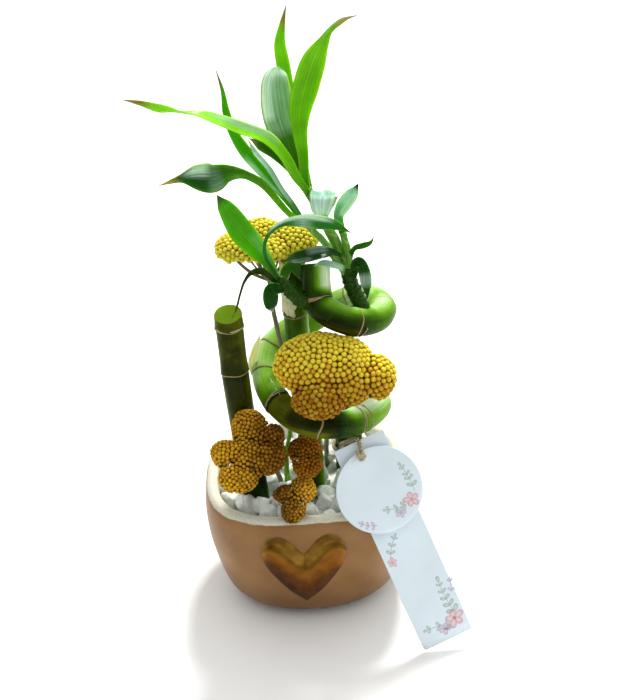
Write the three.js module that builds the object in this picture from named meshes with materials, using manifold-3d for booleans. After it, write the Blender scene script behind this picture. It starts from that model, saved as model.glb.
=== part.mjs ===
// Lucky bamboo and dried yarrow in a heart pot, with two paper tags tied on.
// Millimetres, +Z up, front towards -Y, origin on the table under the middle of the pot.
import * as THREE from 'three';
import { mergeVertices } from 'three/addons/utils/BufferGeometryUtils.js';
import Module from 'manifold-3d';

const wasm = await Module();
wasm.setup();

// Driving dimensions
const GAP = 0.3;
const POT_HALF_WIDTH = 66;
const POT_DEPTH_RATIO = 0.9;
const POT_HEIGHT = 84.5;
const POT_WALL = 6.5;
const POT_FLOOR = 9;
const POT_CORNER = 2.9;
const FOOT_CORNER = 2.2;
const SOIL_LEVEL = 56;
const PEBBLE_LEVEL = 77;
const CHIP_SIZE = 15;
const LEFT_CANE_RADIUS = 8.3;
const CENTRE_CANE_RADIUS = 7.4;
const SPIRAL_CANE_RADIUS = 8.4;
const CANE_FOOT = 30;
const STEM_FOOT = 50;
const FLORET = 6.5;
const FLORET_RISE = 1.5;
const HEAD_UNDERSIDE = 2.5;
const BLADE_THICKNESS = 0.8;
const BLADE_FOLD = 0.16;
const SHEATH_THICKNESS = 0.8;
const CARD_WIDTH = 33;
const CARD_LENGTH = 138;
const CARD_THICKNESS = 0.7;
const CARD_CORNER = 2;
const ROUND_TAG_RADIUS = 26.8;
const TAG_HOLE_RADIUS = 2.2;
const TWINE_RADIUS = 0.8;
const TWINE_HEIGHT = 94;

const FRONT_VIEW = new THREE.Vector3(0, -0.87, 0.49);
const MUCH = 200;
const MESH_TOLERANCE = 0.01;

// A repeatable stream of random numbers from 0 to 1
function seeded(seed) {
  let state = seed;
  return () => {
    state = (state * 16807) % 2147483647;
    return state / 2147483647;
  };
}

function vector([x, y, z]) {
  return new THREE.Vector3(x, y, z);
}

function range(count) {
  return Array.from({ length: count }, (_, i) => i);
}

function geometryOf(points, faces) {
  const geometry = new THREE.BufferGeometry();
  const positions = points.flatMap((p) => [p.x, p.y, p.z]);
  geometry.setAttribute('position', new THREE.Float32BufferAttribute(positions, 3));
  geometry.setIndex(faces);
  return geometry;
}

// A closed skin over rings of points that run anticlockwise seen from the last ring
function loft(rings) {
  const count = rings[0].length;
  const points = rings.flat();
  const faces = [];
  for (let r = 0; r + 1 < rings.length; r += 1) {
    for (const i of range(count)) {
      const a = r * count + i;
      const b = r * count + ((i + 1) % count);
      faces.push(a, b, b + count, a, b + count, a + count);
    }
  }
  const last = (rings.length - 1) * count;
  const middleOf = (ring) => ring.reduce((sum, p) => sum.add(p), new THREE.Vector3()).divideScalar(count);
  points.push(middleOf(rings[0]), middleOf(rings[rings.length - 1]));
  for (const i of range(count)) {
    const j = (i + 1) % count;
    faces.push(points.length - 2, j, i, points.length - 1, last + i, last + j);
  }
  return geometryOf(points, faces);
}

function solidOf(geometry) {
  const bare = geometry.clone();
  bare.deleteAttribute('normal');
  bare.deleteAttribute('uv');
  const merged = mergeVertices(bare, 1e-4);
  const vertProperties = new Float32Array(merged.attributes.position.array);
  const triVerts = new Uint32Array(merged.index.array);
  const mesh = new wasm.Mesh({ numProp: 3, vertProperties, triVerts, tolerance: MESH_TOLERANCE });
  return new wasm.Manifold(mesh);
}

// The outer skin of a fused mesh: hollows sealed by fusing are filled and loose scraps dropped
function outerSkin(solid) {
  const { triVerts, vertProperties } = solid.getMesh();
  const parent = range(vertProperties.length / 3);
  const rootOf = (v) => {
    let root = v;
    while (parent[root] !== root) root = parent[root];
    parent[v] = root;
    return root;
  };
  for (let i = 0; i < triVerts.length; i += 3) {
    parent[rootOf(triVerts[i + 1])] = rootOf(triVerts[i]);
    parent[rootOf(triVerts[i + 2])] = rootOf(triVerts[i]);
  }
  const shells = new Map();
  for (let i = 0; i < triVerts.length; i += 3) {
    const root = rootOf(triVerts[i]);
    if (!shells.has(root)) shells.set(root, []);
    shells.get(root).push(triVerts[i], triVerts[i + 1], triVerts[i + 2]);
  }
  const geometry = new THREE.BufferGeometry();
  geometry.setAttribute('position', new THREE.Float32BufferAttribute(vertProperties, 3));
  geometry.setIndex([...shells.values()].sort((a, b) => b.length - a.length)[0]);
  return geometry;
}

function joined(solids) {
  return solids.reduce((whole, part) => whole.add(part));
}

function without(solid, cutters) {
  return cutters.reduce((rest, cutter) => rest.subtract(cutter), solid);
}

// A closed tube along a curve, larger all round by extra where it cuts room for the real one.
// Sections give [place along the curve from 0 to 1, radius].
function tube(curve, sections, sides, extra = 0) {
  let side = new THREE.Vector3(1, 0.01, 0.02);
  const rings = sections.map(([u, bare]) => {
    const radius = bare + extra;
    const along = curve.getTangentAt(u);
    const past = u === 0 ? -extra : (u === 1 ? extra : 0);
    const centre = curve.getPointAt(u).addScaledVector(along, past);
    side = side.clone().projectOnPlane(along).normalize();
    const other = new THREE.Vector3().crossVectors(along, side);
    return range(sides).map((i) => {
      const angle = (i / sides) * Math.PI * 2;
      return centre.clone()
        .addScaledVector(side, radius * Math.cos(angle))
        .addScaledVector(other, radius * Math.sin(angle));
    });
  });
  return loft(rings);
}

function curveThrough(points) {
  return new THREE.CatmullRomCurve3(points.map(vector), false, 'centripetal');
}

// Sections of a cane: an even radius with a low ring at each node
function caneSections(radius, nodes, steps) {
  const rings = nodes.flatMap((u) => [[u - 0.012, radius], [u, radius * 1.08], [u + 0.012, radius]]);
  const even = range(steps + 1).map((i) => [i / steps, radius]);
  const clear = even.filter(([u]) => nodes.every((n) => Math.abs(u - n) > 0.02));
  return [...clear, ...rings].sort((p, q) => p[0] - q[0]);
}

function taperSections(first, last, steps) {
  return range(steps + 1).map((i) => [i / steps, first + ((last - first) * i) / steps]);
}

const part = new THREE.Group();

function add(name, geometry, colour, roughness, metalness = 0) {
  const material = new THREE.MeshStandardMaterial({ color: colour, roughness, metalness });
  const mesh = new THREE.Mesh(geometry, material);
  mesh.name = name;
  part.add(mesh);
}

// Pot: a rounded square bowl that narrows to a small foot
function potRing(half, z, corner = POT_CORNER, sides = 32) {
  const exponent = 2 / corner;
  return range(sides).map((i) => {
    const angle = (i / sides) * Math.PI * 2;
    const c = Math.cos(angle);
    const s = Math.sin(angle);
    const x = half * Math.sign(c) * Math.abs(c) ** exponent;
    const y = half * POT_DEPTH_RATIO * Math.sign(s) * Math.abs(s) ** exponent;
    return new THREE.Vector3(x, y, z);
  });
}

// Half width of the outside at a height, both as fractions of the pot's own
const POT_OUTLINE = [
  [0, 0.6], [0.02, 0.68], [0.06, 0.77], [0.12, 0.845], [0.25, 0.905],
  [0.45, 0.955], [0.65, 0.99], [0.82, 1], [0.93, 0.985],
];

function potHalfWidth(z) {
  const t = z / POT_HEIGHT;
  const k = Math.max(1, POT_OUTLINE.findIndex(([h]) => h >= t));
  const [h0, w0] = POT_OUTLINE[k - 1];
  const [h1, w1] = POT_OUTLINE[k];
  return POT_HALF_WIDTH * (w0 + ((w1 - w0) * (t - h0)) / (h1 - h0));
}

// The plan grows squarer from the foot to just over half the height
function cornerAt(z) {
  return FOOT_CORNER + (POT_CORNER - FOOT_CORNER) * Math.min(1, z / (0.6 * POT_HEIGHT));
}

const lipHalf = POT_HALF_WIDTH * 0.96;
const innerHalf = lipHalf - POT_WALL;
const potOutside = POT_OUTLINE.map(([h, w]) => {
  return potRing(POT_HALF_WIDTH * w, h * POT_HEIGHT, cornerAt(h * POT_HEIGHT));
});
const potLip = [
  potRing(lipHalf - 0.3, POT_HEIGHT - 1.5),
  potRing(lipHalf - 2.2, POT_HEIGHT),
  potRing(innerHalf + 1.6, POT_HEIGHT),
  potRing(innerHalf, POT_HEIGHT - 1.8),
];

// The inside as [how far in from the mouth, height], from the mouth down to the floor
const INSIDE = [[1, 60], [4, 34], [10, 16], [20, POT_FLOOR]];
const potInside = INSIDE.map(([inwards, z]) => potRing(innerHalf - inwards, z));
add('pot', loft([...potOutside, ...potLip, ...potInside]), '#8c6e4b', 0.45);

// Heart: a puffed relief with a crease down from the notch, seated on the front wall
const HEART = { x: -5, z: 51, half: 26.5, scale: 33.5, middle: -3, height: 4.2, sides: 30 };

// The common heart curve, 2 wide, with its tip at -1
function heartEdge(angle) {
  const x = Math.sin(angle) ** 3;
  const rise = 13 * Math.cos(angle) - 5 * Math.cos(2 * angle) - 2 * Math.cos(3 * angle) - Math.cos(4 * angle);
  return [x, rise / 17];
}

function wallFront(x, z) {
  const half = potHalfWidth(z);
  const corner = cornerAt(z);
  return -half * POT_DEPTH_RATIO * (1 - (Math.abs(x) / half) ** corner) ** (1 / corner);
}

function heartPoint(angle, share, lift) {
  const [edgeX, edgeZ] = heartEdge(angle);
  const across = edgeX * share * HEART.half;
  const rise = HEART.middle + (edgeZ * HEART.scale - HEART.middle) * share;
  const [x, z] = [HEART.x + across, HEART.z + rise];
  const crease = rise > 0 ? 1 - 0.3 * Math.exp(-((across / 4) ** 2)) : 1;
  return new THREE.Vector3(x, wallFront(x, z) - GAP - lift * HEART.height * crease, z);
}

function heartRing([share, lift]) {
  return range(HEART.sides).map((i) => heartPoint((-i / HEART.sides) * Math.PI * 2, share, lift));
}

// Rings as [share of the outline, lift off the wall], the back first
const heartBack = [[0.1, 0], [0.5, 0], [0.8, 0]];
const heartFront = [[1, 0], [0.97, 0.3], [0.86, 0.66], [0.66, 0.92], [0.36, 1], [0.1, 1]];
add('heart', loft([...heartBack, ...heartFront].map(heartRing)), '#7a5420', 0.35, 0.6);

// Canes and a young stem, from the soil upwards
const CANES = [
  {
    name: 'cane_left',
    path: [[-31, -19, CANE_FOOT], [-33, -19, 80], [-37, -18, 134], [-39, -17, 169], [-40, -16, 209]],
    sections: caneSections(LEFT_CANE_RADIUS, [0.78, 0.96], 5), sides: 12, colour: '#3f5f17',
  },
  {
    name: 'cane_centre',
    path: [[6, -8, CANE_FOOT], [4, -8, 80], [3, -6, 138], [0, -3, 186], [0, 0, 232]],
    sections: caneSections(CENTRE_CANE_RADIUS, [0.6], 5), sides: 12, colour: '#3f5f17',
  },
  {
    name: 'cane_spiral',
    path: [
      [28, 8, CANE_FOOT], [28, 8, 80], [29, 8, 104], [32, 7, 121], [40, 3, 131], [47, -7, 133],
      [42, -19, 134], [32, -30, 136], [21, -38, 139], [10, -41, 142], [-2, -37, 144], [-12, -27, 147],
      [-19, -13, 151], [-21, 1, 156], [-18, 13, 163], [-8, 22, 170], [10, 27, 177], [23, 29, 184],
      [36, 28, 189], [47, 20, 192], [52, 5, 194], [49, -9, 195], [39, -20, 198], [29, -26, 203],
      [20, -24, 207], [14, -18, 211], [13, -13, 219], [13, -11, 233],
    ],
    sections: caneSections(SPIRAL_CANE_RADIUS, [0.32, 0.47, 0.56, 0.8, 0.93], 44), sides: 10,
    colour: '#33561a',
  },
  {
    name: 'young_stem',
    path: [[-13, -1, STEM_FOOT], [-12, -5, 98], [-9, -10, 116], [-8, -15, 130]],
    sections: taperSections(2, 1.2, 5), sides: 6, colour: '#6fae2c',
  },
];

const roomFor = {};
for (const { name, path, sections, sides, colour } of CANES) {
  const curve = curveThrough(path);
  add(name, tube(curve, sections, sides), colour, 0.35);
  roomFor[name] = solidOf(tube(curve, sections, sides, GAP));
}

// Yarrow: each head is lobes of button florets on its own stem.
// A lobe is [across, up the face, half width, half height, rise], in the head's own plane.
const YARROW = [
  {
    name: 'yarrow_front', centre: [20, -44.5, 176.5], tilt: 42,
    lobes: [[-9, 8, 27, 20, 15], [10, 4, 19, 19, 14], [26, 0, 11.5, 16, 11], [-10, -14, 17, 12, 12],
      [8, -9, 13, 10, 11]],
    stem: [[14, 20, STEM_FOOT], [14, 15, 90], [16, -8, 118], [18, -26, 143], [19, -37, 164], [20, -43, 175]],
  },
  {
    name: 'yarrow_back', centre: [-15, 6, 241], tilt: 15,
    lobes: [[-16, -3, 15, 13, 9], [-3, 5, 16, 14, 11], [18, 1, 14, 13, 9], [0, -8, 15, 10, 8]],
    stem: [[4, 9, STEM_FOOT], [3, 10, 84], [-4, 7, 130], [-10, 2, 172], [-14, 2, 202], [-15, 5, 240]],
  },
  {
    name: 'yarrow_left', centre: [-31.5, -47.5, 129], tilt: 45,
    lobes: [[-1, 16.5, 11.5, 11, 9], [-17, 1, 8.5, 8.5, 7.5], [-3, 0, 12, 10, 9], [10, -2.5, 11, 12, 9],
      [12, 10, 8.5, 7.5, 7], [-9, -14, 12.5, 10, 8.5]],
    stem: [[-17, -8, STEM_FOOT], [-17, -12, 84], [-22, -27, 106], [-31, -46, 128]],
  },
  {
    name: 'yarrow_small', centre: [0, -40, 119], tilt: 45,
    lobes: [[0, 4, 11, 9, 8], [1, -6, 9.5, 8, 7.5]],
    stem: [[2, -22, STEM_FOOT], [1, -22, 84], [0, -28, 102], [0, -39, 118]],
  },
  {
    name: 'yarrow_low', centre: [-7, -50, 97], tilt: 45,
    lobes: [[-7, 2, 7.5, 6, 6], [4, 4, 8.5, 9.5, 7], [-2.5, -8, 8, 9, 7]],
    stem: [[-10, -30, STEM_FOOT], [-10, -30, 82], [-8, -38, 90], [-7, -49, 96]],
  },
];

// A lobe skin: a sphere of triangles, every third vertex raised into a floret, scaled to the lobe
function floretLobe([u, v, a, b, c], cells) {
  const corners = new THREE.IcosahedronGeometry(1, 0).getAttribute('position');
  const points = [];
  const spot = (corner, i, j) => {
    const shares = [i, j, cells - i - j];
    const place = new THREE.Vector3();
    shares.forEach((share, n) => {
      place.addScaledVector(new THREE.Vector3().fromBufferAttribute(corners, corner + n), share);
    });
    place.normalize();
    const raised = shares.every((share) => share % 3 === i % 3);
    const low = raised ? 0 : FLORET_RISE;
    return new THREE.Vector3(u + place.x * (a - low), v + place.y * (b - low), place.z * (c - low));
  };
  for (let corner = 0; corner < corners.count; corner += 3) {
    for (const i of range(cells)) {
      for (const j of range(cells - i)) {
        points.push(spot(corner, i, j), spot(corner, i + 1, j), spot(corner, i, j + 1));
        if (i + j + 2 <= cells) {
          points.push(spot(corner, i + 1, j), spot(corner, i + 1, j + 1), spot(corner, i, j + 1));
        }
      }
    }
  }
  return geometryOf(points, range(points.length));
}

// Cells along a lobe's side, in threes, so that florets are about FLORET apart
function cellsFor([, , a, b, c]) {
  const spacing = 1.43 * FLORET;
  return 3 * Math.max(1, Math.round((a + b + c) / 3 / spacing));
}

function floretHead({ centre, tilt, lobes }, extra = 0) {
  const place = new THREE.Matrix4().makeRotationX(THREE.MathUtils.degToRad(tilt)).setPosition(vector(centre));
  const below = new THREE.BoxGeometry(MUCH, MUCH, MUCH).translate(0, 0, -MUCH / 2 - HEAD_UNDERSIDE - extra);
  const solids = lobes.map(([u, v, a, b, c]) => {
    const lobe = [u, v, a + extra, b + extra, c + extra];
    return solidOf(floretLobe(lobe, cellsFor(lobe)).applyMatrix4(place));
  });
  return joined(solids).subtract(solidOf(below.applyMatrix4(place)));
}

const stemHoles = [];
for (const flower of YARROW) {
  const curve = curveThrough(flower.stem);
  const sections = taperSections(1.6, 1.4, 7);
  const stem = solidOf(tube(curve, sections, 6));
  stemHoles.push(solidOf(tube(curve, sections, 6, GAP)));
  add(flower.name, outerSkin(floretHead(flower)), '#b08a1e', 0.9);
  add(`${flower.name}_stem`, outerSkin(without(stem, [floretHead(flower, GAP)])), '#6f6a52', 0.85);
}

// Soil and pebbles: the pot's filling, with a plain hole for each cane and stem
function levelTo(top) {
  return solidOf(new THREE.BoxGeometry(MUCH, MUCH, MUCH).translate(0, 0, top - MUCH / 2));
}

const standing = [...Object.values(roomFor), ...stemHoles];
const insideRings = [...INSIDE].reverse().map(([inwards, z]) => {
  return potRing(innerHalf - inwards - GAP, z === POT_FLOOR ? z + GAP : z);
});
const insideOfPot = solidOf(loft([
  ...insideRings,
  potRing(innerHalf - GAP, POT_HEIGHT - 1.8),
  potRing(innerHalf - GAP, POT_HEIGHT + 20),
]));
const soil = insideOfPot.intersect(levelTo(SOIL_LEVEL));
add('soil', outerSkin(without(soil, standing)), '#3a2c20', 0.95);

// Broken marble: eight-sided chips, each turned and squashed its own way
function marbleChips() {
  const random = seeded(7);
  const chips = [];
  for (const row of range(8)) {
    for (const column of range(9)) {
      const x = (column - 4 + (row % 2) / 2) * CHIP_SIZE + (random() - 0.5) * 3;
      const y = (row - 3.5) * CHIP_SIZE * 0.87 + (random() - 0.5) * 3;
      const chip = new THREE.OctahedronGeometry(CHIP_SIZE * 0.62, 0);
      chip.rotateZ(random() * 6).rotateX((random() - 0.5) * 1.2);
      chip.scale(1, 0.75 + random() * 0.3, 0.7 + random() * 0.2);
      chip.rotateZ(random() * 6).rotateY((random() - 0.5) * 0.8);
      chip.translate(x, y, PEBBLE_LEVEL + (random() - 0.4) * 4);
      const inside = Math.hypot(x / (innerHalf - 3), y / (innerHalf * POT_DEPTH_RATIO - 1)) < 1.1;
      if (inside) chips.push(solidOf(chip));
    }
  }
  return chips;
}

const belowPebbles = levelTo(SOIL_LEVEL + GAP);
const bed = insideOfPot.intersect(levelTo(PEBBLE_LEVEL)).subtract(belowPebbles);
const pebbles = joined([bed, ...marbleChips()]).intersect(insideOfPot).subtract(belowPebbles);
add('pebbles', outerSkin(without(pebbles, standing)), '#e6e4da', 0.5);

// Dried shoot bases and the leaf stalks that rise from them
const STALKS = [
  {
    name: 'shoot_base_left', radii: [5, 3.2], colour: '#3b2f1d',
    path: [[11, -18, 211], [2, -19, 216], [-4, -19, 223], [-9, -18, 229]],
  },
  {
    name: 'shoot_base_right', radii: [4.6, 4], colour: '#3b2f1d',
    path: [[40, -16, 202], [36, -12, 212], [33, -10, 220], [31, -8, 228]],
  },
  {
    name: 'stalk_crown', radii: [3.4, 2.6], colour: '#5c9427',
    path: [[31, -8, 229], [27, -6, 240], [22, -4, 252], [17, -2, 264], [11, 0, 276]],
  },
  {
    name: 'stalk_side', radii: [2.2, 1.8], colour: '#4d8424',
    path: [[30, -10, 226], [24, -12, 238], [18, -13, 249], [11, -12, 257], [5, -10, 263]],
  },
  {
    name: 'stalk_short', radii: [2.4, 2], colour: '#66a02c',
    path: [[33, -9, 226], [32, -9, 240], [30, -6, 250]],
  },
];
const carriers = [roomFor.cane_spiral];
for (const { name, path, radii, colour } of STALKS) {
  const curve = curveThrough(path);
  const sections = taperSections(...radii, 7);
  const stalk = solidOf(tube(curve, sections, 8));
  add(name, outerSkin(without(stalk, carriers)), colour, 0.5);
  carriers.push(solidOf(tube(curve, sections, 8, GAP)));
}

// A folded strip through stations [x, y, z, width, turn of the face in degrees]
function blade(stations) {
  const path = curveThrough(stations);
  const spans = stations.length - 1;
  const steps = Math.round(spans * 1.5);
  const top = [];
  const under = [];
  for (const k of range(steps + 1)) {
    const t = k / steps;
    const place = Math.min(spans - 1e-6, t * spans);
    const whole = Math.floor(place);
    const blend = (c) => THREE.MathUtils.lerp(stations[whole][c], stations[whole + 1][c], place - whole);
    const [width, turn] = [blend(3), blend(4)];
    const centre = path.getPoint(t);
    const along = path.getTangent(t);
    const across = new THREE.Vector3().crossVectors(along, FRONT_VIEW).normalize();
    across.applyAxisAngle(along, THREE.MathUtils.degToRad(turn));
    const face = new THREE.Vector3().crossVectors(along, across);
    const row = [[0.5, 0], [0, BLADE_FOLD], [-0.5, 0]].map(([a, f]) => {
      return centre.clone().addScaledVector(across, a * width).addScaledVector(face, f * width);
    });
    top.push(row.map((p) => p.clone().addScaledVector(face, BLADE_THICKNESS / 2)));
    under.push(row.map((p) => p.clone().addScaledVector(face, -BLADE_THICKNESS / 2)));
  }
  return bladeSkin(top, under);
}

// Two rows-of-three skins closed along their edges and ends
function bladeSkin(top, under) {
  const last = top.length - 1;
  const T = (k, i) => k * 3 + i;
  const U = (k, i) => (last + 1) * 3 + k * 3 + i;
  const faces = [];
  const quad = (a, b, c, d) => faces.push(a, b, c, a, c, d);
  for (const k of range(last)) {
    for (const i of [0, 1]) {
      quad(T(k, i), T(k, i + 1), T(k + 1, i + 1), T(k + 1, i));
      faces.push(U(k, i), U(k + 1, i + 1), U(k, i + 1), U(k, i), U(k + 1, i), U(k + 1, i + 1));
    }
    quad(T(k, 0), T(k + 1, 0), U(k + 1, 0), U(k, 0));
    quad(T(k, 2), U(k, 2), U(k + 1, 2), T(k + 1, 2));
  }
  for (const i of [0, 1]) {
    quad(T(0, i), U(0, i), U(0, i + 1), T(0, i + 1));
    quad(T(last, i), T(last, i + 1), U(last, i + 1), U(last, i));
  }
  return geometryOf([...top.flat(), ...under.flat()], faces);
}

const LEAVES = {
  leaf_crown_left: [
    [14, -2, 269, 4, 0], [10, -5, 278, 4, 10], [5, -7, 287, 6, 20], [-1, -9, 301, 8, 35],
    [-9, -11, 312, 9, 30], [-24, -16, 321, 10, 35], [-42, -21, 331, 9, 50], [-55, -24, 335, 7, 82],
    [-64, -27, 338, 6, 130], [-75, -30, 343, 3, 150], [-84, -32, 346, 1, 150],
  ],
  leaf_crown_right: [
    [11, -1, 275, 4, 0], [10, -2, 283, 5, 0], [10, 2, 293, 6, 0], [9, 4, 310, 9, 10],
    [10, 5, 322, 13, 10], [14, 6, 335, 15, 15], [19, 7, 348, 14, 20], [25, 9, 358, 8, 40],
    [29, 11, 364, 5, 80], [36, 13, 369, 5, 120], [44, 15, 370, 1, 120],
  ],
  leaf_crown_tall: [
    [13, -1, 270, 4, 0], [11, 7, 280, 5, 0], [8, 15, 295, 7, 0], [5, 25, 318, 7, 0],
    [2, 35, 339, 8, 0], [1, 38, 350, 6.5, 0], [3, 40, 360, 3.5, 0], [6, 42, 371, 1, 0],
  ],
  leaf_crown_broad: [
    [11, 1, 275, 4, 0], [9, 5, 281, 5, 0], [6, 7, 289, 9, 0], [2, 9, 301, 15, 0],
    [-2, 12, 314, 18, 0], [-3, 15, 326, 18, 0], [-3, 18, 333, 16, 0], [-2, 22, 337, 13, 0],
    [-1, 27, 338.5, 8, 0], [0, 32, 338, 1.5, 0],
  ],
  leaf_crown_short: [
    [15, -1, 266, 4, 0], [10, 6, 273, 4, 0], [3, 12, 283, 5, 10], [-6, 17, 292, 7, 10],
    [-14, 20, 297, 7, 10], [-21, 24, 300, 1, 10],
  ],
  leaf_side_upright: [
    [6, -8.5, 262, 3, 0], [1, -3, 268, 4, 10], [-5, 2, 275, 5, 20], [-14, 6, 286, 7, 20],
    [-22, 10, 296, 8, 20], [-29, 14, 308, 6, 20], [-32, 17, 319, 5, 30], [-33, 20, 330, 3, 40],
    [-36, 23, 342, 1, 40],
  ],
  leaf_side_strip: [
    [6, -11, 264, 3, 0], [2, -8, 271, 3, 20], [-4, -3, 279, 4, 40], [-10, 0, 290, 4.5, 40],
    [-17, 3, 299, 4, 40], [-21, 6, 307, 1, 40],
  ],
  leaf_side_spoon: [
    [8, -13, 260, 3, 0], [0, -13.5, 267, 3.5, 0], [-6, -13, 275, 4, 10], [-14, -13, 286, 5, 20],
    [-24, -14, 293, 6, 20], [-33, -16, 295, 11, 15], [-41, -19, 294, 17, 5], [-50, -22, 296, 14, 5],
    [-58, -25, 297, 5, 10], [-65, -27, 296, 2.5, 10], [-71, -29, 295, 1, 10],
  ],
  leaf_stalk_dark_tip: [
    [30, -6, 249, 4, 0], [29, -6, 254, 4.5, 0], [28, -7, 261, 6, 0], [32, -8, 269, 7, 10],
    [37, -9, 276, 6, 10], [40, -11, 282, 1.5, 10],
  ],
  leaf_crown_pale: [
    [13, -1, 271, 4, 0], [17, -6, 275, 5, 0], [18, -10, 280, 8, 30], [21, -15, 280, 12, 20],
    [21, -19, 276, 9, 0], [18, -21, 269, 1.5, 0],
  ],
  leaf_crown_small: [[17, -2, 262, 3, 0], [21, 3, 262, 4, 0], [25, 6, 264, 6, 0], [29, 8, 267, 1.5, 0]],
  leaf_left_big: [
    [-9, -17, 228, 3, 0], [-14, -17, 239, 7, 0], [-20, -20, 250, 12, 0], [-27, -24, 262, 14, 0],
    [-33, -28, 276, 11, 0], [-37, -31, 285, 6, 0], [-39, -33, 290, 1, 0],
  ],
  leaf_left_arch: [
    [-7, -19, 226, 3, 10], [-12, -23, 238, 4, 20], [-15, -25, 246, 4, 30], [-15, -26, 255, 4, 40],
    [-11, -27, 263, 4, 40], [-3, -28, 268, 5, 40], [7, -29, 269, 7, 30], [17, -30, 268, 8, 30],
    [25, -31, 266, 5, 30], [34, -32, 261, 1, 30],
  ],
  leaf_left_dry: [
    [-8, -19, 224, 3, 0], [-15, -22, 234, 4, 0], [-19, -25, 238, 5, 10], [-24, -27, 238, 4, 20],
    [-28, -29, 234, 3, 30], [-31, -30, 227, 3, 40], [-34, -31, 218, 3, 40], [-37, -31, 212, 1, 40],
  ],
  leaf_left_hanging: [
    [-5, -20, 223, 4, 0], [-9, -25, 226, 6, 0], [-13, -26, 226, 8, 0], [-14, -27, 221, 9, 0],
    [-14, -27, 215, 6, 0], [-13, -26, 212, 1.5, 0],
  ],
  leaf_left_back: [
    [-7, -18, 226, 4, 0], [-4, -14, 232, 6, 0], [-1, -13, 234, 7, 10], [2, -13, 233, 8, 10],
    [5, -13, 227, 6, 10], [6, -13, 220, 1.5, 10],
  ],
  leaf_right_folded: [
    [34, -11, 222, 4, 0], [35, -16, 228, 4, 0], [36, -18, 235, 5, 20], [38, -20, 237, 6, 20],
    [41, -21, 232, 6, 20], [43, -22, 224, 5, 10], [42, -22, 214, 1.5, 10],
  ],
  leaf_right_small: [
    [33, -9, 230, 3, 0], [36, -13, 238, 3, 0], [36, -15, 242, 3, 0], [41, -15, 245, 4, 30],
    [45, -16, 248, 3, 30], [48, -16, 251, 1, 30],
  ],
  leaf_right_dark: [
    [31, -8, 229, 3, 0], [29, -16, 239, 4, 20], [24, -19, 244, 5, 30], [17, -22, 246, 8, 30],
    [9, -25, 246, 9, 30], [2, -28, 246, 6, 30], [-4, -30, 246, 1.5, 30],
  ],
  leaf_right_pale: [
    [32, -9, 225, 3, 0], [28, -15, 232, 4, 20], [22, -18, 236, 5, 30], [16, -20, 238, 5, 30],
    [12, -21, 237, 1.5, 30],
  ],
};
for (const [name, stations] of Object.entries(LEAVES)) {
  add(name, outerSkin(without(solidOf(blade(stations)), carriers)), '#4f8f22', 0.4);
}

// Dried sheath scraps: one stands beside the spiral, one hugs the middle cane
const scrap = blade([
  [-28, 0, 156, 5, 0], [-28.5, 1, 163, 6, 0], [-26.5, 2, 170, 5.5, 0], [-22.5, 4, 182, 1.5, 0],
]);
add('sheath_blade', outerSkin(without(solidOf(scrap), [roomFor.cane_spiral])), '#b9bf6a', 0.7);

const { path: centrePath, sections: centreSections, sides: centreSides } = CANES[1];
const wrap = solidOf(tube(curveThrough(centrePath), centreSections, centreSides, GAP + SHEATH_THICKNESS));
const wrapBox = solidOf(new THREE.BoxGeometry(9, 12, 28).translate(-6.5, -8, 212));
add('sheath_centre', outerSkin(wrap.subtract(roomFor.cane_centre).intersect(wrapBox)), '#d8cfa2', 0.8);

// Paper tags: a long card that leans on the lip, and a round tag in front of it
const CARD = { corner: [65.3, -87, 0.5], azimuth: 5.7, lean: 23.3, roll: 18.3, hole: [14.4, 129.5] };
const ROUND_TAG = { centre: [43.4, -50.3, 98.2], azimuth: 8, lean: 26, hole: [-8.7, 21.4] };

// A tag's own frame: X across and Y up the face, leaning back, then rolled in its own plane
function leaningFrame(origin, azimuth, lean, roll) {
  const tilted = new THREE.Matrix4().makeRotationX(THREE.MathUtils.degToRad(90 - lean));
  const turned = new THREE.Matrix4().makeRotationZ(THREE.MathUtils.degToRad(azimuth));
  const rolled = new THREE.Matrix4().makeRotationZ(THREE.MathUtils.degToRad(roll));
  return turned.multiply(tilted).multiply(rolled).setPosition(vector(origin));
}

function punched(shape, [x, y]) {
  shape.holes.push(new THREE.Path().absarc(x, y, TAG_HOLE_RADIUS, 0, Math.PI * 2, true));
  return new THREE.ExtrudeGeometry(shape, { depth: CARD_THICKNESS, bevelEnabled: false, curveSegments: 12 });
}

const cardShape = new THREE.Shape([
  [0, CARD_CORNER], [CARD_CORNER, 0], [CARD_WIDTH - CARD_CORNER, 0], [CARD_WIDTH, CARD_CORNER],
  [CARD_WIDTH, CARD_LENGTH], [0, CARD_LENGTH],
].map(([x, y]) => new THREE.Vector2(x, y)));
const cardFrame = leaningFrame(CARD.corner, CARD.azimuth, CARD.lean, CARD.roll);
add('tag_card', punched(cardShape, CARD.hole).applyMatrix4(cardFrame), '#dfe8ea', 0.7);

const roundShape = new THREE.Shape().absarc(0, 0, ROUND_TAG_RADIUS, 0, Math.PI * 2, false);
const roundFrame = leaningFrame(ROUND_TAG.centre, ROUND_TAG.azimuth, ROUND_TAG.lean, 0);
add('tag_round', punched(roundShape, ROUND_TAG.hole).applyMatrix4(roundFrame), '#e2ebee', 0.7);

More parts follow.
